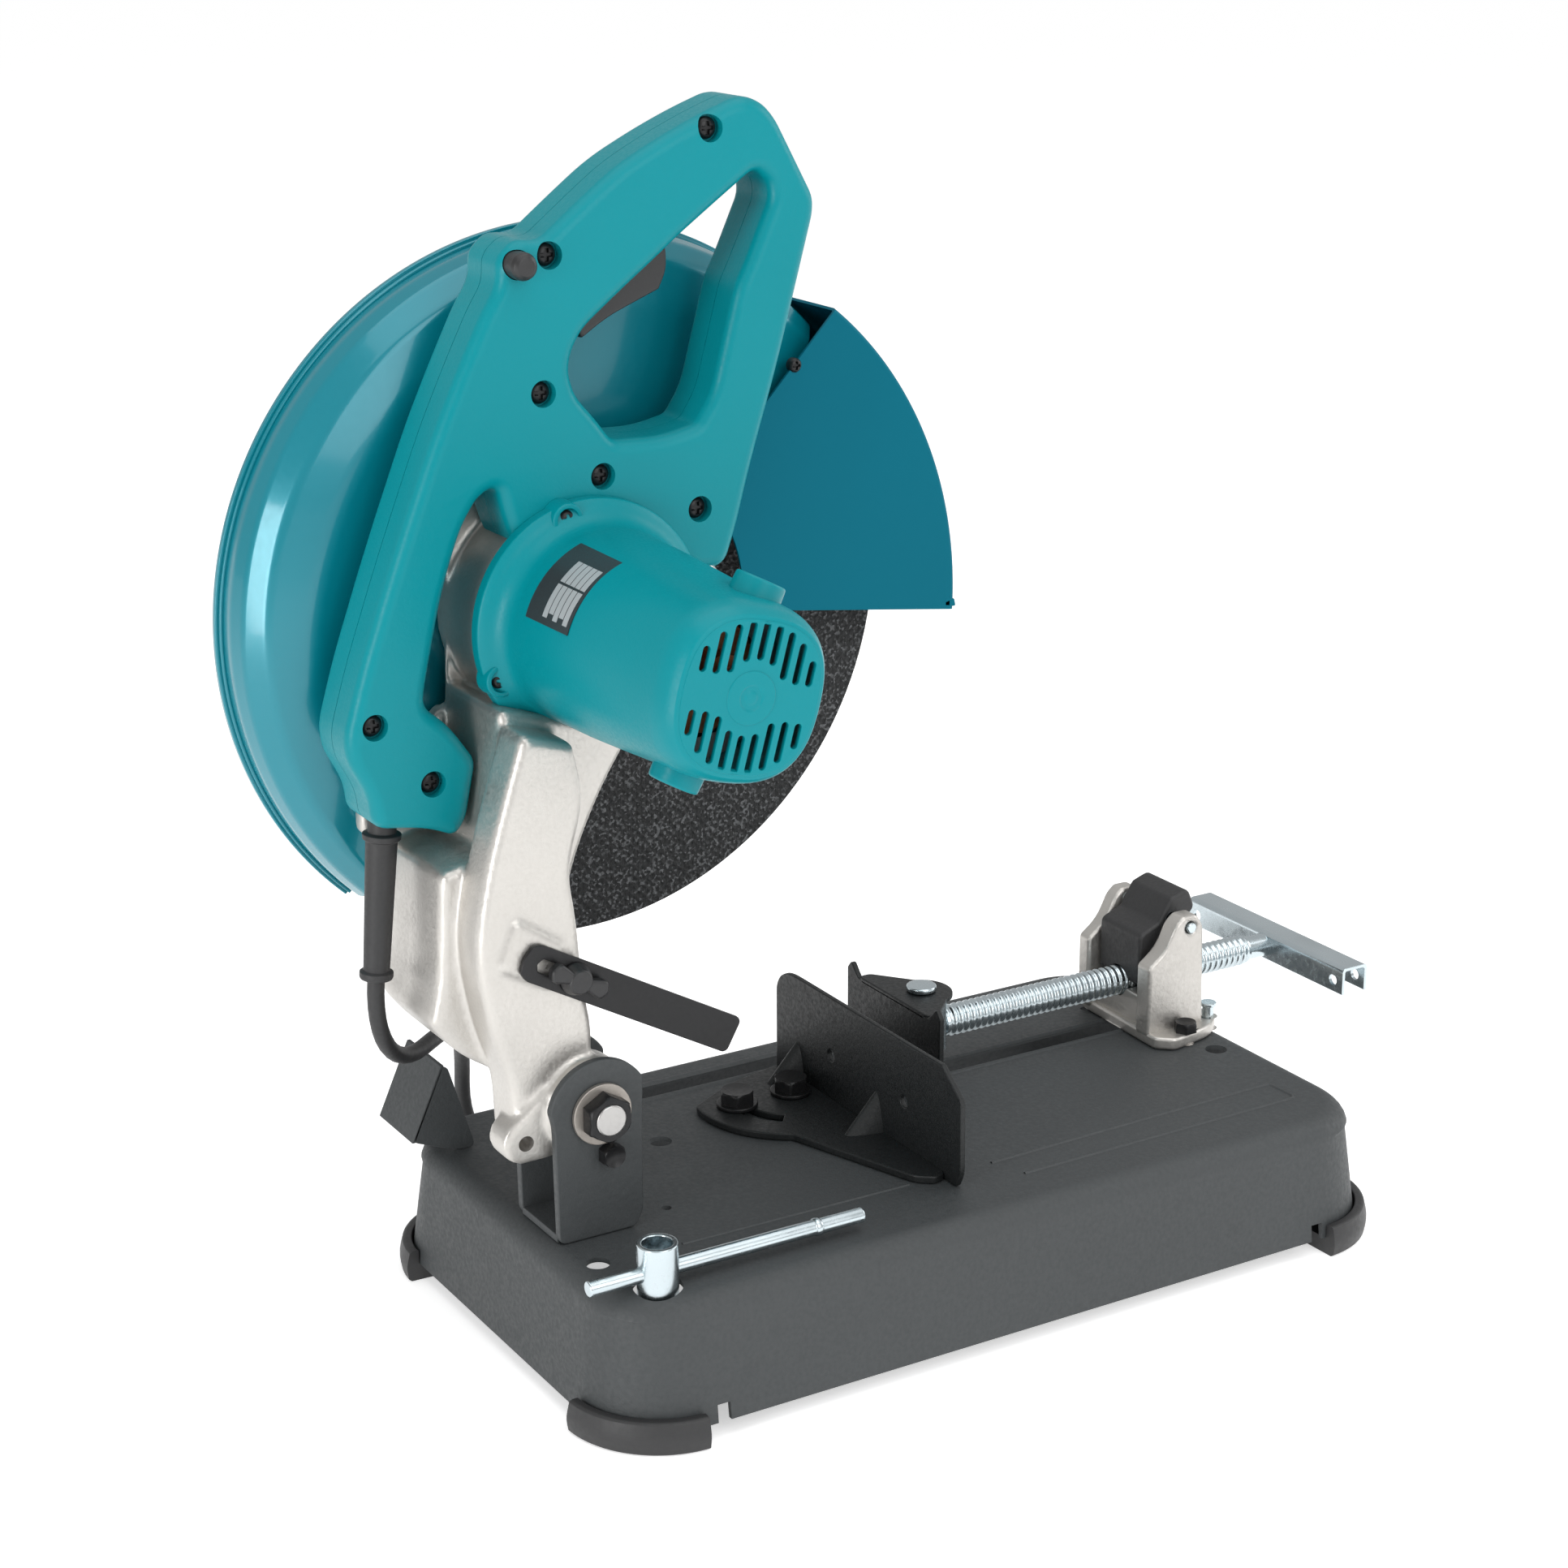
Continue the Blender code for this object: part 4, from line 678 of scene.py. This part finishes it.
bracket_foot = fillet([(-104, -312), (-98, -342), (-86, -354), (-30, -352), (-22, -342), (-22, -306),
                       (-96, -303)], 7, 5)
foot_plate = plate(bracket_foot, DECK + 0.3, DECK + 7.3, 1.8, "Z",
                   [circle((-97, -324), 3.3, 20), circle((-86, -348.5), 3.6, 20)])
piece("vise_casting", "base", ("vise_bracket",),
      [plate(cheek, -90, -78, 2.2, "X", pin_hole), plate(cheek, -34, -24, 2.2, "X", pin_hole), saddle,
       foot_plate], cast)
piece("bracket_screw", "base", ("vise_bracket_screw",),
      [peg(73, DECK + 7.5, 3, "Z", (-97, -324), 20),
       hex_head(DECK + 7.3, DECK + 13, 6.6, "Z", (-97, -324), 1.0)], black_bolt)
piece("lever_pin", "base", ("half_nut_pin",), [peg(-91, -23, 3, "X", (-331, 137), 24, 0.8)], zinc)
lever_black = finish("lever_casting", (0.02, 0.02, 0.021), 0.52, grain=420.0, bump=0.4, depth=0.4, vary=0.15)
lever = fillet([(-309, 100), (-309, 131), (-322, 136), (-330, 149), (-342, 153), (-347, 141), (-334, 128),
                (-333, 100)], 4.5, 5)
lever_mesh = carve(plate(lever, -73, -36, 2.0, "X", [circle((-331, 137), 3.3, 20)]),
                   [peg(-360, -300, 9, "Y", SCREW)])
piece("half_nut", "half_nut", ("half_nut_lever",), [lever_mesh], lever_black)

y = np.linspace(-399, -189, 421)
turn_u = np.linspace(0, 2 * np.pi, 33)[:-1]
ridge = 8.7 - 0.95 * (0.5 - 0.5 * np.cos(2 * np.pi * y[:, None] / 4.0 - turn_u)) ** 1.5
ease = np.clip((y + 399) / 4, 0, 1) * np.clip((-189 - y) / 4, 0, 1)
ridge = 7.75 + (ridge - 7.75) * ease[:, None]
thread = surface(np.stack([SCREW[0] + ridge * np.cos(turn_u), np.broadcast_to(y[:, None], ridge.shape),
                           SCREW[1] + ridge * np.sin(turn_u)], -1))
screw = piece("feed_screw", "vise_screw", ("vise_screw",),
              [thread, peg(-189.5, -172, 6.5, "Y", SCREW, 32, 0.8),
               peg(-424, -398, 6.8, "Y", SCREW, 32, 0.8)], zinc, 60)
channel = [(91, -413), (107, -413), (107, -431), (91, -431), (91, -429), (105, -429), (105, -415), (91, -415)]
channel = fillet(channel, [0.8, 3.2, 3.2, 0.8, 0.8, 1.2, 1.2, 0.8], 5, gentle=0)
channel = plate([(b, a) for a, b in channel], -124, 14, 0.3)
notches = [peg(-440, -405, 3.2, "Y", (x, 98), 20) for x in (-116, 6)]
piece("vise_channel", "vise_screw", ("vise_handle",), [carve(channel, notches)], zinc, 35)

jaw_face = [(DECK + 0.3, -98), (122, -98), (127, -94), (122, -90), (119, -86), (119, -18), (122, -15),
            (127, -11),
            (122, -7), (DECK + 0.3, -7)]
tongue = [(-86, -158.5), (-86, -166)] + list(map(tuple, circle((-54, -176), 17, 18, 200, 140)))
tongue += [(-18, -166), (-18, -158.5)]
piece("jaw", "vise_jaw", ("jaw_plate",),
      [plate(fillet(jaw_face, 2.5, 4), -161.5, -158.5, 0.7, "Y"),
       plate(fillet(tongue, 5, 4), 117, 120, 0.7, "Z", [circle((-54, -176), 5.4)])], black_coat)
block = fillet([(-66, -185.5), (-42, -185.5), (-42, -164), (-66, -164)], 2.5, 4)
piece("jaw_block", "vise_carriage", ("vise_swivel",),
      [carve(plate(block, 88, 116.6, 0.8, "Z"), [peg(-195, -171.7, 6.9, "Y", SCREW)]),
       peg(114, 121, 5, "Z", (-54, -176)), peg(120.3, 123.6, 8.2, "Z", (-54, -176), 36, 1.2)], zinc)

# ---- Loose tools
# The zinc-plated socket wrench with its drilled-through bar parks in a hole of the deck, and a
# turned pin stands by the vise for locking the head down.
tube_profile = fillet([(60, 7), (60, 10), (95, 10), (95, 7.4)], 0.8, 3)
wrench_bar = [(-46, 0), (-46, 3.9), (104, 3.9), (104, 0)]
crimps = [peg(y0 - 2.2, y0 + 2.2, 4.5, "Y", (-199, 80.5), 24, 1.5) for y0 in (-20,)]
piece("wrench", "wrench", ("socket_wrench",),
      [revolve(tube_profile, "Z", (-199, 67), 48),
       revolve(fillet(wrench_bar, [0, 1.2, 1.2, 0], 4, 0), "Y", (-199, 80.5), 32),
       *crimps], zinc)
stand = [(74, 0), (74, 3.2), (86, 3.2), (86, 4.6), (88, 4.6), (88, 0)]
piece("locking_pin", "lock_pin", ("lock_pin",),
      [revolve(fillet(stand, [0, .4, .2, .5, .5, 0], 3, 0), "Z", (-86, -348.5), 28)], zinc)


# ---- Cast aluminium arm
# One sand casting carries the motor, the spindle bearings and the hinge barrel, and is only
# tumbled, so all its edges are soft. The plates it is made of here are melted into one skin.
MOTOR = (36.0, 363.0)
block = [(66, -34), (92, -26), (100, -50), (112, -88), (120, -130), (112, -172), (104, -196), (103, -226),
         (98, -236), (84, -240), (66, -216), (58, -186), (64, -150), (66, -120), (70, -96), (60, -62)]
web = [(20, -40), (92, -20), (93, -52), (100, -90), (124, -96), (127, -150), (132, -170), (118, -188),
       (100, -200), (84, -188), (66, -170), (58, -110), (40, -70)]
lower = [(122, -62), (94, -33), (57, -43), (37, -68), (61, -107), (110, -106), (138, -90), (138, -70)]
tongue = [(-42, 30), (-40, 52), (-18, 70), (16, 90), (45, 95), (88, 60), (92, -40), (60, -40)]
lug = list(map(tuple, circle((100, AXLE_Z - 226), 11, 12, -90, 150))) + w([(84, -200), (72, -236)])
boss = w([(100, -114), (75, -131), (81, -152), (110, -137)])
shapes = [plate(fillet(w(block), 5), -126, -99.6, 4.5), plate(fillet(w(web), 5), -100.6, -40.2, 4),
          plate(fillet(w(lower), 5), -42, -31.6, 2.5), plate(fillet(w(tongue), 6), -41.6, -38.3, 1.2),
          plate(fillet(lug, 3), -130, -112, 1.5), plate(fillet(boss, 3), -128.4, -119, 1.5),
          peg(-81.7, -31, 55, "X", MOTOR, 72, 3), peg(-80, -30.6, 46, "X", (0, AXLE_Z), 64, 3),
          peg(-32, -8, 25, "X", (0, AXLE_Z), 48, 2), peg(-134.2, -112.5, 24, "X", HINGE, 48, 2)]


def melt(parts, cell, passes):
    """The parts as one skin: rebuilt on a grid of small cells, then each point is moved towards
    the mean of its neighbours a few times, which rounds every edge and corner."""
    obj = as_object(gather(parts))
    grid = obj.modifiers.new("grid", "REMESH")
    grid.mode, grid.voxel_size = "VOXEL", cell
    ease = obj.modifiers.new("ease", "SMOOTH")
    ease.factor, ease.iterations = 0.5, passes
    mesh = bpy.data.meshes.new_from_object(obj.evaluated_get(bpy.context.evaluated_depsgraph_get()))
    bpy.data.objects.remove(obj, do_unlink=True)
    return mesh


casting = carve(melt(shapes, 1.7, 4),
                [peg(-112, -78, 29.5, "X", HINGE, 48), peg(-140, -108, 4, "X", (99.3, AXLE_Z - 226.4), 24),
                                       peg(-140, -112, 3.3, "X", (72, AXLE_Z - 147), 20)])
piece("arm_casting", "head", ("head_arm",), [casting], cast, 50)

# ---- Wheel guard
# A drawn steel cup, glossy teal: a dished near wall with a rounded shoulder, and a flat far
# wall whose edge is seamed over the rim. It is open below and in front.
guard_paint = finish("guard_gloss_teal", (0.0, 0.19, 0.245), 0.24, metallic=0.2, grain=300.0, clouds=7.0,
                     bump=0.04, depth=0.3, vary=0.05, spread=0.03, coat=0.5, specular=0.4)
cup = [(-30, 52), (-28.6, 152), (-23, 173), (-13, 182), (-4, 184.6), (7, 184.6), (7, 187.8), (10.5, 187.8),
       (10.5, 60), (9, 60), (9, 183), (-4, 183), (-12.4, 180.6), (-21.8, 171.8), (-27, 151), (-28.5, 52)]
soft = [0.3, 42, 11, 9, 12, 0.6, 0.9, 0.9, 0.3, 0.3, 1, 12, 10, 11, 40, 0.3]
shell = revolve(fillet(cup, soft, 6, gentle=0), "X", (0, AXLE_Z), 128, -47, 183)
hem = revolve(fillet([(4.5, 184.2), (4.5, 186.2), (7, 186.2), (7, 184.2)], 0.8, 3), "X", (0, AXLE_Z), 128,
              -47, 183)
piece("guard_cup", "head", ("guard",), [shell, hem], guard_paint, 35)

# ---- Safety cover
# Folded sheet that straddles the guard and swings up over it: two cheeks and a band, whose
# edge runs 16 mm clear of the rim at its lower end. A small screw and a cross pin hold it.
cover_paint = finish("cover_satin_teal", (0.0, 0.118, 0.172), 0.42, metallic=0.1, grain=420.0, clouds=7.0,
                     bump=0.08, vary=0.05, spread=0.04, specular=0.08)
trough = [(-38, 76), (-38, 190.5), (15.5, 190.5), (15.5, 76), (14, 76), (14, 189), (-36.5, 189), (-36.5, 76)]
trough = fillet(trough, [0.3, 2.6, 2.6, 0.3, 0.3, 1.2, 1.2, 0.3], 5, gentle=0)
fold = revolve(trough, "X", (0, AXLE_Z), 72, 133.5, 54)
at = np.empty(len(fold.vertices) * 3)
fold.vertices.foreach_get("co", at)
at = at.reshape(-1, 3)
out = at[:, 1:] - [0, AXLE_Z]
reach = np.linalg.norm(out, axis=1)
down = (np.degrees(np.arctan2(out[:, 1], out[:, 0])) % 360 - 133.5) / 54
grown = 1 + 16 * down * np.clip((reach - 76) / 114.5, 0, 1) / reach
at[:, 1:] = out * grown[:, None] + [0, AXLE_Z]
fold.vertices.foreach_set("co", at.ravel())
cross_pin = peg(-37.5, 15, 2.4, "X", (-199, AXLE_Z - 23.5), 20, 0.6)
nub = plate(fillet(w([(-206, -25.5), (-199, -24.6), (-199, -22), (-205, -21)]), 1), -38, 15, 0.5)
piece("cover_fold", "safety_cover", ("safety_cover",), [fold, nub, cross_pin], cover_paint, 35)


def cross_screw(x, centre, radius, tall=1.8):
    """A pan head facing -X: height falls off with the fourth power of the radius, and drops to a
    flat floor inside the driver's cross."""
    ring = np.linspace(0, 1, 14)[:, None]
    angle = np.linspace(0, 2 * np.pi, 48, endpoint=False)[None, :]
    u, v = ring * radius * np.cos(angle), ring * radius * np.sin(angle)
    cross = np.minimum(np.abs(u), np.abs(v)) < 0.17 * radius
    cross &= np.maximum(np.abs(u), np.abs(v)) < 0.58 * radius
    rise = tall * (1 - ring**4) * np.where(cross, 0.25, 1.0)
    grid = np.stack([x - rise, centre[0] + u, centre[1] + v], -1)
    foot_ring = grid[-1:] + [3.0, 0, 0]
    return surface(np.concatenate([grid, foot_ring]))


piece("cover_screw", "safety_cover", (), [cross_screw(-38.0, (-107, AXLE_Z + 112), 3.6, 1.6)],
      black_bolt)

# ---- Abrasive wheel
# A 355 mm resin-bonded wheel: black grit pressed between two layers of glass mesh, whose
# diagonal weave shows on the faces; the grit's tone varies at random, and its brightest flecks are painted
# highlights, glints painted into the base colour.
grit, grit_tree, grit_shader = new_material("abrasive_grit", 0.78, 0.0)
where_grit = grit_tree.nodes.new("ShaderNodeTexCoord")
heights = []
for turn_by in (45, -45):
    lean = grit_tree.nodes.new("ShaderNodeMapping")
    lean.inputs["Rotation"].default_value = (math.radians(turn_by), 0.0, 0.0)
    grit_tree.links.new(where_grit.outputs["Object"], lean.inputs["Vector"])
    strand = grit_tree.nodes.new("ShaderNodeTexWave")
    strand.bands_direction = "Y"
    strand.inputs["Scale"].default_value = 82.0
    strand.inputs["Distortion"].default_value = 1.2
    strand.inputs["Detail"].default_value = 2.0
    strand.inputs["Detail Scale"].default_value = 2.0
    grit_tree.links.new(lean.outputs["Vector"], strand.inputs["Vector"])
    heights.append(strand.outputs["Fac"])
weave = grit_tree.nodes.new("ShaderNodeMath")
weave.operation = "MAXIMUM"
grit_tree.links.new(heights[0], weave.inputs[0])
grit_tree.links.new(heights[1], weave.inputs[1])
grain = grit_tree.nodes.new("ShaderNodeTexNoise")
grain.inputs["Scale"].default_value = 900.0
grain.inputs["Detail"].default_value = 4.0
grit_tree.links.new(where_grit.outputs["Object"], grain.inputs["Vector"])
total = grit_tree.nodes.new("ShaderNodeMath")
total.operation = "MULTIPLY_ADD"
grit_tree.links.new(grain.outputs["Fac"], total.inputs[0])
total.inputs[1].default_value = 1.4
grit_tree.links.new(weave.outputs[0], total.inputs[2])
lift = grit_tree.nodes.new("ShaderNodeBump")
lift.inputs["Strength"].default_value = 0.9
lift.inputs["Distance"].default_value = 0.0009
grit_tree.links.new(total.outputs[0], lift.inputs["Height"])
grit_tree.links.new(lift.outputs["Normal"], grit_shader.inputs["Normal"])
# Painted glints: these voronoi cells, with the weave, set the grit's base colour, and the brightest cells
# become painted highlights.
painted_glint_cells = grit_tree.nodes.new("ShaderNodeTexVoronoi")
painted_glint_cells.inputs["Scale"].default_value = 700.0
grit_tree.links.new(where_grit.outputs["Object"], painted_glint_cells.inputs["Vector"])
# Up to 0.72 the ramp is the grit's own near-black tone; above that it rises to a painted highlight.
ramp = grit_tree.nodes.new("ShaderNodeValToRGB")
ramp.color_ramp.elements[0].position, ramp.color_ramp.elements[0].color = 0.0, (0.008, 0.0085, 0.009, 1)
ramp.color_ramp.elements[1].position, ramp.color_ramp.elements[1].color = 1.0, (0.12, 0.125, 0.13, 1)
glint_start = ramp.color_ramp.elements.new(0.72)
glint_start.color = (0.019, 0.020, 0.021, 1)
split = grit_tree.nodes.new("ShaderNodeSeparateColor")
grit_tree.links.new(painted_glint_cells.outputs["Color"], split.inputs["Color"])
blend = grit_tree.nodes.new("ShaderNodeMath")
blend.operation = "MULTIPLY_ADD"
grit_tree.links.new(weave.outputs[0], blend.inputs[0])
blend.inputs[1].default_value = 0.22
painted_glint_level = grit_tree.nodes.new("ShaderNodeMath")
painted_glint_level.operation = "MULTIPLY"
painted_glint_level.inputs[1].default_value = 0.86
grit_tree.links.new(split.outputs["Red"], painted_glint_level.inputs[0])
grit_tree.links.new(painted_glint_level.outputs[0], blend.inputs[2])
grit_tree.links.new(blend.outputs[0], ramp.inputs["Fac"])
grit_tree.links.new(ramp.outputs["Color"], grit_shader.inputs["Base Color"])
disc = fillet([(-1.5, 12.7), (-1.5, 177.5), (1.5, 177.5), (1.5, 12.7)], [0.1, 0.7, 0.7, 0.1], 3, gentle=0)
piece("abrasive_wheel", "wheel", ("cutting_wheel",), [revolve(disc, "X", (0, AXLE_Z), 160)], grit)

# ---- Motor housing
# Glass-filled nylon, moulded in one piece: a flange on the arm, a barrel that turns from round
# to softly square, and an end wall with two groups of cooling slots about a round hub.
teal = finish("teal_moulded_plastic", (0.0, 0.215, 0.250), 0.36, grain=650.0, clouds=10.0, bump=0.22,
              depth=0.35, vary=0.05, spread=0.07, specular=0.2)


def squared(angle, amount):
    """Radius factor that makes a circle a little square, with corners on the slots' diagonals."""
    return 1 - amount * (0.5 + 0.5 * np.cos(4 * (angle - np.radians(15.6))))


barrel = [(-81.9, 60), (-88, 60), (-90, 57.5), (-92, 53.5), (-96, 50), (-101, 48.6), (-150, 47.2), (-190, 46),
          (-224, 44.6), (-231, 42.5), (-235.2, 39.5), (-236, 36), (-233.5, 35), (-224, 40), (-190, 41.5),
          (-81.9, 41.5)]
barrel = fillet(barrel, [0.5, 2, 3, 3, 4, 4, 9, 9, 6, 3, 2, 0.4, 1, 3, 3, 0.5], 4)
angle = np.linspace(0, 2 * np.pi, 128, endpoint=False)[:, None]
amount = 0.075 * np.clip((-130 - barrel[:, 0]) / 80, 0, 1)[None, :] ** 1.3
radius = barrel[:, 1][None, :] * squared(angle, amount)
barrel_grid = np.stack([np.broadcast_to(barrel[:, 0], radius.shape), MOTOR[0] + radius * np.cos(angle),
                        MOTOR[1] + radius * np.sin(angle)], -1)
end_turn = np.linspace(0, 2 * np.pi, 96, endpoint=False)
end_r = 37.6 * squared(end_turn, 0.075)
end_line = np.stack([MOTOR[0] + end_r * np.cos(end_turn), MOTOR[1] + end_r * np.sin(end_turn)], -1)
tilt = np.radians(15.6)
spin = np.array([[np.cos(tilt), np.sin(tilt)], [-np.sin(tilt), np.cos(tilt)]])
slots = []
for i in range(-4, 5):
    aside = i * 6.9
    far = math.sqrt(34.0**2 - aside**2)
    near = math.sqrt(max(17.0**2 - aside**2, 8.5**2))
    for a, b in ((near, far), (-far, -near)):
        slots.append(rounded_box((aside - 1.75, aside + 1.75), (a, b), 1.7, 4) @ spin + MOTOR)
end_wall = plate(end_line, -236.0, -233.2, 0.5, "X", slots, 1)
hub_shape = [(-233, 0), (-233, 13), (-236.45, 12.2), (-236.45, 6.2), (-235.7, 4.6), (-236.4, 2.2),
             (-236.45, 0)]
hub = revolve(fillet(hub_shape, [0, 0, 0.8, 0.5, 0.8, 0.8, 0], 4, 0), "X", MOTOR, 64)
bosses = []
for flip in (0, 180):
    brush_shape = [(34, 0), (34, 12.6), (49.6, 11.8), (49.6, 8.9), (44.2, 8.9), (44.2, 0)]
    brush_shape = [(MOTOR[1] + up, radius) for up, radius in brush_shape]
    brush = revolve(fillet(brush_shape, [0, 0, 1.6, 0.6, 0.3, 0], 4, 0), "Z", (-206.2, MOTOR[0]), 48)
    bosses.append(turned(brush, 28 + flip, "X", (0, *MOTOR)))
seats, heads = [], []
for degrees in (-14, -112, 76):
    a = math.radians(degrees)
    centre = (MOTOR[0] - 53.5 * math.sin(a), MOTOR[1] + 53.5 * math.cos(a))
    seat = [(-82, 0), (-82, 8.6), (-92.2, 8.0), (-92.2, 5.6), (-89.4, 5.4), (-89.4, 0)]
    seats.append(revolve(fillet(seat, [0, 0, 1, .4, .3, 0], 3, 0), "X", centre, 40))
    heads.append(cross_screw(-89.6, centre, 4.7, 2.2))
piece("motor_barrel", "head", ("motor_housing",),
      [surface(barrel_grid, loop=True), end_wall, hub, *bosses, *seats], teal, 38)
piece("motor_screws", "head", ("motor_screw_top", "motor_screw_bottom", "motor_screw_front"),
      heads, black_bolt)
dark = finish("black_moulded_plastic", (0.016, 0.016, 0.017), 0.42, grain=520.0, bump=0.2, vary=0.15)
for flip, node in ((0, "brush_cap_top"), (180, "brush_cap_bottom")):
    cap = carve(peg(MOTOR[1] + 44.3, MOTOR[1] + 49.0, 8.4, "Z", (-206.2, MOTOR[0]), 40, 0.8),
                [plate([(-213, 35.1), (-199, 35.1), (-199, 36.9), (-213, 36.9)], MOTOR[1] + 47.4,
                       MOTOR[1] + 52, 0.1, "Z")])
    piece(node + "_slotted", "head", (node,), [turned(cap, 28 + flip, "X", (0, *MOTOR))],
          dark)

# ---- Rating plate
# A dark foil label on the barrel with a paler panel ruled into boxes; it carries no words.
foil = finish("label_foil", (0.035, 0.037, 0.04), 0.35, metallic=0.2, grain=900.0, bump=0.02, vary=0.05)
pale = finish("label_panel", (0.42, 0.43, 0.44), 0.40, metallic=0.3, grain=900.0, bump=0.02, vary=0.05)


def patch(x0, x1, first, sweep, lift):
    """A thin piece of the barrel's own cone between two stations and two angles."""
    slope = (48.6 - 47.2) / 49.0
    r0, r1 = 47.2 + slope * (x0 + 150), 47.2 + slope * (x1 + 150)
    band = [(x0, r0 - 0.3), (x0, r0 + lift), (x1, r1 + lift), (x1, r1 - 0.3)]
    return revolve(band, "X", MOTOR, 24, first, sweep)


piece("rating_foil", "head", ("motor_label",), [patch(-150, -111, 18, 52, 0.10)], foil)
rows = [patch(-147.5 + k * 4.6, -147.5 + k * 4.6 + 4.0, 22 + 3 * (k % 2), 20 - 3 * (k % 2), 0.16)
        for k in range(5)]
columns = [patch(-147.5 + k * 4.6, -147.5 + k * 4.6 + 4.0, 43.5, 15, 0.16) for k in range(5)]
piece("rating_panel", "head", (), [*rows, *columns], pale)

# ---- Handle
# Two moulded shells of glass-filled nylon meet on the middle plane and are screwed together
# from the near side, the heads sunk in round pockets. The grip is a closed loop.
grip = [(53, 191), (31, 208), (12, 222), (-12, 234), (-33, 243), (-53, 250), (-64, 247), (-72, 239),
        (-82, 221),
        (-93, 201), (-93, 193), (-82, 154), (-72, 119), (-58, 77), (-49, 45), (-42, 26), (60, 26), (75, 62),
        (79, 80), (88, 76), (97, 63), (108, 34), (118, -8), (120, -20), (107, -31), (94, -50), (100, -78),
        (106, -86), (117, -81), (124, -79), (148, -75), (149, -60), (159, -41), (160, -29), (151, 1),
        (132, 52),
        (114, 96), (108, 110), (96, 135), (83, 160), (75, 172), (75, 184), (66, 192)]
opening = [(-19, 187), (-42, 203), (-61, 216), (-68, 209), (-69, 201), (-55, 171), (-50, 162), (-36, 111),
           (-27, 98),
           (-9, 94), (18, 95), (28, 108), (37, 118), (40, 130), (38, 139), (32, 148.5), (12, 164),
           (-8, 178.5)]
handle_shape = plate(fillet(w(grip), 11, 6), -81.7, -42.0, 6.6, "X", [fillet(w(opening), 7, 6)], 4)
screws = [(-35, 236), (50, 184), (55, 121), (25, 79), (-27, 57), (146, -25), (118, -57)]
for name, side, node in (("near", 1, "handle_near"), ("far", -1, "handle_far")):
    bm = bmesh.new()
    bm.from_mesh(handle_shape)
    cut = bmesh.ops.bisect_plane(bm, geom=bm.verts[:] + bm.edges[:] + bm.faces[:],
                                 plane_co=(-62 - 0.22 * side, 0, 0),
                                 plane_no=(side, 0, 0), clear_outer=True)
    edges = [e for e in cut["geom_cut"] if isinstance(e, bmesh.types.BMEdge)]
    bmesh.ops.triangle_fill(bm, edges=edges, use_beauty=True)
    bmesh.ops.recalc_face_normals(bm, faces=bm.faces)
    half = bpy.data.meshes.new("half")
    bm.to_mesh(half)
    bm.free()
    if name == "near":
        pockets = [peg(-90, -75.5, 6.4, "X", w([at_yz])[0], 32) for at_yz in screws]
        pockets.append(peg(-90, -64, 6.9, "X", w([(66, 181)])[0], 32))
        half = carve(half, pockets)
    piece("grip_" + name, "head", (node,), [half], teal, 38)
piece("handle_screws", "head", (),
      [cross_screw(-77.0, w([at_yz])[0], 5.2, 2.0) for at_yz in screws], black_bolt)

# ---- Trigger and lock button
# Black moulded plastic: a thumb-width trigger under the grip and a round lock button beside it.
trigger = fillet(w([(30, 146.5), (12, 162.3), (-8, 176.5), (-17, 183), (-17.5, 171), (-13, 162), (15, 151),
                    (29, 142)]), 2, 4)
piece("trigger_paddle", "trigger", ("trigger",), [plate(trigger, -70, -54, 1.4)], dark)
knob = [(-91, 0), (-90.6, 4.2), (-89.4, 5.8), (-87.5, 6.5), (-67, 6.5), (-67, 0)]
piece("lock_knob", "lock_button", ("lock_button",),
      [revolve(fillet(knob, [0, 1.5, 1, 1, 0.3, 0], 4, 0), "X", w([(66, 181)])[0], 40)], dark)

# ---- Depth stop
# A black bar with a slot slides on the arm's boss and is clamped by a wing bolt.
bar_head = np.array([72.0, AXLE_Z - 147])
along, across = np.array([-0.873, -0.488]), np.array([-0.488, 0.873])


def on_bar(pairs):
    return [tuple(bar_head + along * a + across * c) for a, c in pairs]


bar = on_bar([(-28, -7), (-30, 0), (-28, 7), (-24, 9.4), (97, 9.4), (99, 7.5), (99, -7.5), (97, -9.4),
              (-24, -9.4)])
bar_slot = on_bar([(-20, -3.4), (-22, 0), (-20, 3.4), (4, 3.4), (6, 0), (4, -3.4)])
piece("stop_bar", "stop_plate", ("stop_plate",),
      [plate(fillet(bar, 3, 4), -131.4, -128.7, 0.5, "X", [fillet(bar_slot, 1.5, 4)])], black_bolt)
stem = fillet([(-117, 0), (-117, 2.9), (-131.7, 2.9), (-131.7, 8), (-133, 8), (-138, 6.2), (-139, 5.4),
               (-139, 0)],
              [0, .3, .3, .5, .8, 1, .5, 0], 3, 0)
wings = [plate(fillet(on_bar([(s * a, c) for a, c in ((3, 2.4), (14, 5.2), (17, 0), (14, -5.2), (3, -2.4))]),
                      3, 4),
               -138.6, -132.4, 1.6) for s in (1, -1)]
piece("wing_screw", "wing_bolt", ("wing_bolt",),
      [revolve(stem, "X", tuple(bar_head), 36), *wings], dark)

# ---- Inside parts
# Bearings, shaft, gear and flanges are ground or turned steel, the armature is wound with
# copper, and the switch and fan are black plastic. Their CAD shapes stay as they are.
copper = finish("copper_winding", (0.42, 0.17, 0.08), 0.38, metallic=0.9, grain=800.0, clouds=60.0, bump=0.3,
                vary=0.2)
inside = {dark: ("switch_body", "cooling_fan"), copper: ("armature",), black_bolt: ("wheel_bolt",),
          steel: ("field_stator", "armature_bearing_front", "armature_bearing_rear", "spindle",
                  "spindle_bearing_rear", "spindle_bearing_front", "spindle_gear", "inner_flange",
                  "outer_flange")}
for look, names in inside.items():
    for name in names:
        shown = frame["nodes"][name]
        shown.data.materials.clear()
        shown.data.materials.append(look)
